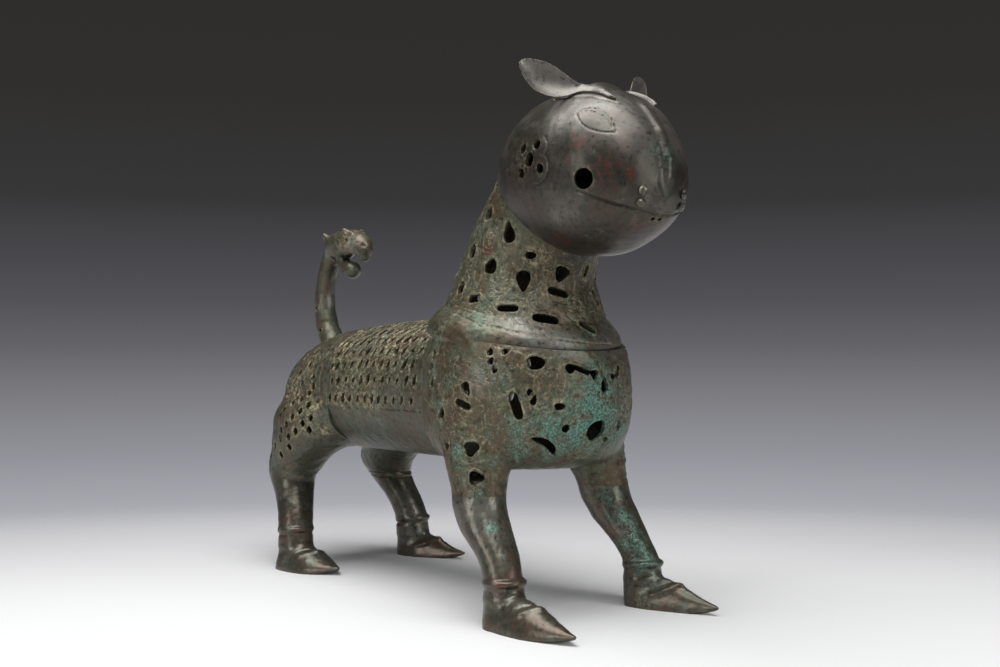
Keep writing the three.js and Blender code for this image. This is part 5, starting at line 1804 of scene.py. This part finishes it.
# Adds and cuts a table of forms
def shaped(clay, forms, side=1):
    for work, kind, places, radii, blend in forms.values():
        places = np.array(places, float) * (1, side, 1)
        form = clay.tube(places, radii) if kind == "bar" else clay.ball(places, radii)
        if work == "add":
            clay.add(form, blend)
        else:
            clay.cut(form, blend)


def tailCasting():
    clay = Clay((-228, -20, 160), (-126, 20, 284), grain["tail"])
    clay.add(clay.tube(*zip(*tailStem)))
    shaped(clay, beastMiddle)
    for side in (-1, 1):
        shaped(clay, beastSides, side)
    clay.cut(clay.loft(rumpStations, fit, (fit, 0)))
    x = tenon["x"]
    peg = clay.tube([(x, 0, tenon["bottom"] + 1), (x, 0, tenon["top"])], [tenon["radius"]] * 2)
    clay.add(np.maximum(peg, -clay.plane((0, 0, tenon["bottom"]), (0, 0, 1))))
    ends = [(x, -keyHole["reach"], keyHole["z"]), (x, keyHole["reach"], keyHole["z"])]
    clay.cut(clay.tube(ends, [keyHole["radius"]] * 2))
    skin = clay.skin()
    ornament = Ornament(*skin)
    ornament.photoHoles(tailHoles)
    return casting("beast_tail", skin, None, ornament, tailLook, "tail", "body")


# Ears: a dished leaf, its edges read off the photograph on one slanting plane, whose stalk runs on as a
# strip along the brow. Leaf rows are the pixels of both edges and the dish's depth. Face is the way that
# the right ear's plane looks, and the rest are millimetres, shares and the counts of points.
ears = {
    "face": (0.87, -0.43, 0.24), "thick": 0.9, "thinning": 0.35, "stripRise": 0.8, "stripDeep": 3.2,
    "stripDish": -0.3, "leafDish": 0.3, "edgeEarth": 0.8, "stripEarth": 0.1, "rubbedAndHighlit": 0.65,
    "lessAtEdge": 0.2, "pointsAcross": 15, "pointsAlong": 56,
}
earLeaf = [
    ((518.6, 63.0), (519.8, 67.0), 0.2), ((523.6, 59.0), (523.4, 76.0), 1.6),
    ((535.5, 59.2), (532.0, 87.6), 3.2), ((549.0, 63.2), (541.2, 93.6), 3.8),
    ((560.0, 70.0), (551.9, 96.8), 3.4), ((570.6, 78.0), (561.5, 97.0), 2.4),
    ((577.5, 82.4), (570.0, 95.2), 0.9),
]
earStrip = [
    ((585, 84.6), (580, 93.6)), ((594, 85.6), (590, 93.2)), ((603, 88.6), (600, 95.0)),
    ((610, 93.6), (608, 98.2)), ((616.5, 98.4), (615.5, 100.2)),
]


# Where the sight line through a pixel meets the plane through a point
def onPlane(pixel, through, facing):
    eye = Vector(camera["place"])
    line = sightLine(*pixel)
    return eye + line * ((through - eye).dot(facing) / line.dot(facing))


def ear(side, headOrnament):
    face = Vector(ears["face"]).normalized()
    strip = []
    for upper, lower in earStrip:
        place, normal = headOrnament.seen(*lower)
        bottom = place + normal * ears["stripRise"]
        facing = (face + normal).normalized()
        top = onPlane(upper, bottom, facing)
        strip.append([
            *((top + bottom) / 2), *((top - bottom) / 2), *facing, ears["stripDish"], ears["stripDeep"],
        ])
    foot = Vector(strip[0][:3])
    rows = []
    for upper, lower, dish in earLeaf:
        top, bottom = onPlane(upper, foot, face), onPlane(lower, foot, face)
        rows.append([*((top + bottom) / 2), *((top - bottom) / 2), *face, dish, ears["thick"]])
    rows += strip
    fine = splined(rows, ears["pointsAlong"])
    steps = ears["pointsAcross"]
    front, back, earth = [], [], []
    for row in fine:
        centre, half, out = Vector(row[:3]), Vector(row[3:6]), Vector(row[6:9]).normalized()
        dish, deep = row[9], row[10]
        for u in np.linspace(-1, 1, steps):
            middle = centre + half * u - out * (dish * (1 - u * u))
            thinner = 1 - ears["thinning"] * u * u
            front.append(middle + out * ears["thick"] * thinner)
            back.append(middle - out * deep * thinner)
            earth.append(ears["edgeEarth"] * u ** 6 if dish > ears["leafDish"] else ears["stripEarth"])
    verts = np.array([tuple(p) for p in front + back])
    if side > 0:
        verts = verts * (1, -1, 1)
    count = len(fine)
    other = len(front)
    faces = []
    for i in range(count - 1):
        for j in range(steps - 1):
            a = i * steps + j
            faces.append((a, a + 1, a + steps + 1, a + steps))
            faces.append((other + a + steps, other + a + steps + 1, other + a + 1, other + a))
    border = list(range(steps))
    border += [i * steps + steps - 1 for i in range(1, count)]
    border += [(count - 1) * steps + j for j in range(steps - 2, -1, -1)]
    border += [i * steps for i in range(count - 2, 0, -1)]
    for a, b in zip(border, border[1:] + border[:1]):
        faces.append((b, a, other + a, other + b))
    made = meshObject("ear_leaf_" + ("left" if side > 0 else "right"), verts, faces)
    work = bmesh.new()
    work.from_mesh(made.data)
    bmesh.ops.recalc_face_normals(work, faces=work.faces)
    work.to_mesh(made.data)
    work.free()
    edge = np.array(earth + earth, np.float32)
    # painted highlight: the whole ear is paled, a little less at its edge, where the earth colour is laid
    # instead
    for tint, value in (("rim", edge), ("worn", ears["rubbedAndHighlit"] - ears["lessAtEdge"] * edge)):
        attribute = made.data.attributes.new(tint, "FLOAT", "POINT")
        attribute.data.foreach_set("value", value)
    smoothing = made.modifiers.new("smooth", "SUBSURF")
    smoothing.levels = 2
    smoothing.render_levels = 2
    made.data = evaluated(made)
    made.modifiers.clear()
    return dress(made, "headBronze", "ear_left" if side > 0 else "ear_right", "head")


# The studs, rivets, hinge, pins and pan keep their CAD shapes and take a finish
plainPieces = {
    "legBronze": (
        "stud_upper_right", "stud_upper_left", "stud_lower_right", "stud_lower_left", "neck_leaf_rivet_1",
        "neck_leaf_rivet_2", "head_leaf_rivet_1", "head_leaf_rivet_2", "neck_hinge_leaf", "head_hinge_leaf",
    ),
    "pinIron": ("hinge_pin", "tail_key"),
    "panBronze": ("ember_pan",),
}


def smallPieces():
    for finish, nodes in plainPieces.items():
        for node in nodes:
            coated(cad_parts[node], finish)
    print("small pieces finished")


breast()
neck()
barrel()
rump()
headOrnament = headCasting()
lowerLeg("fore_leg_right", foreStations, fore, -1, 61)
lowerLeg("fore_leg_left", foreStations, fore, 1, 62)
lowerLeg("hind_leg_right", hindStations, hind, -1, 63)
lowerLeg("hind_leg_left", hindStations, hind, 1, 64)
tailCasting()
ear(-1, headOrnament)
ear(1, headOrnament)
smallPieces()
for prism in prisms.values():
    bpy.data.objects.remove(prism)
print("lion assembled")
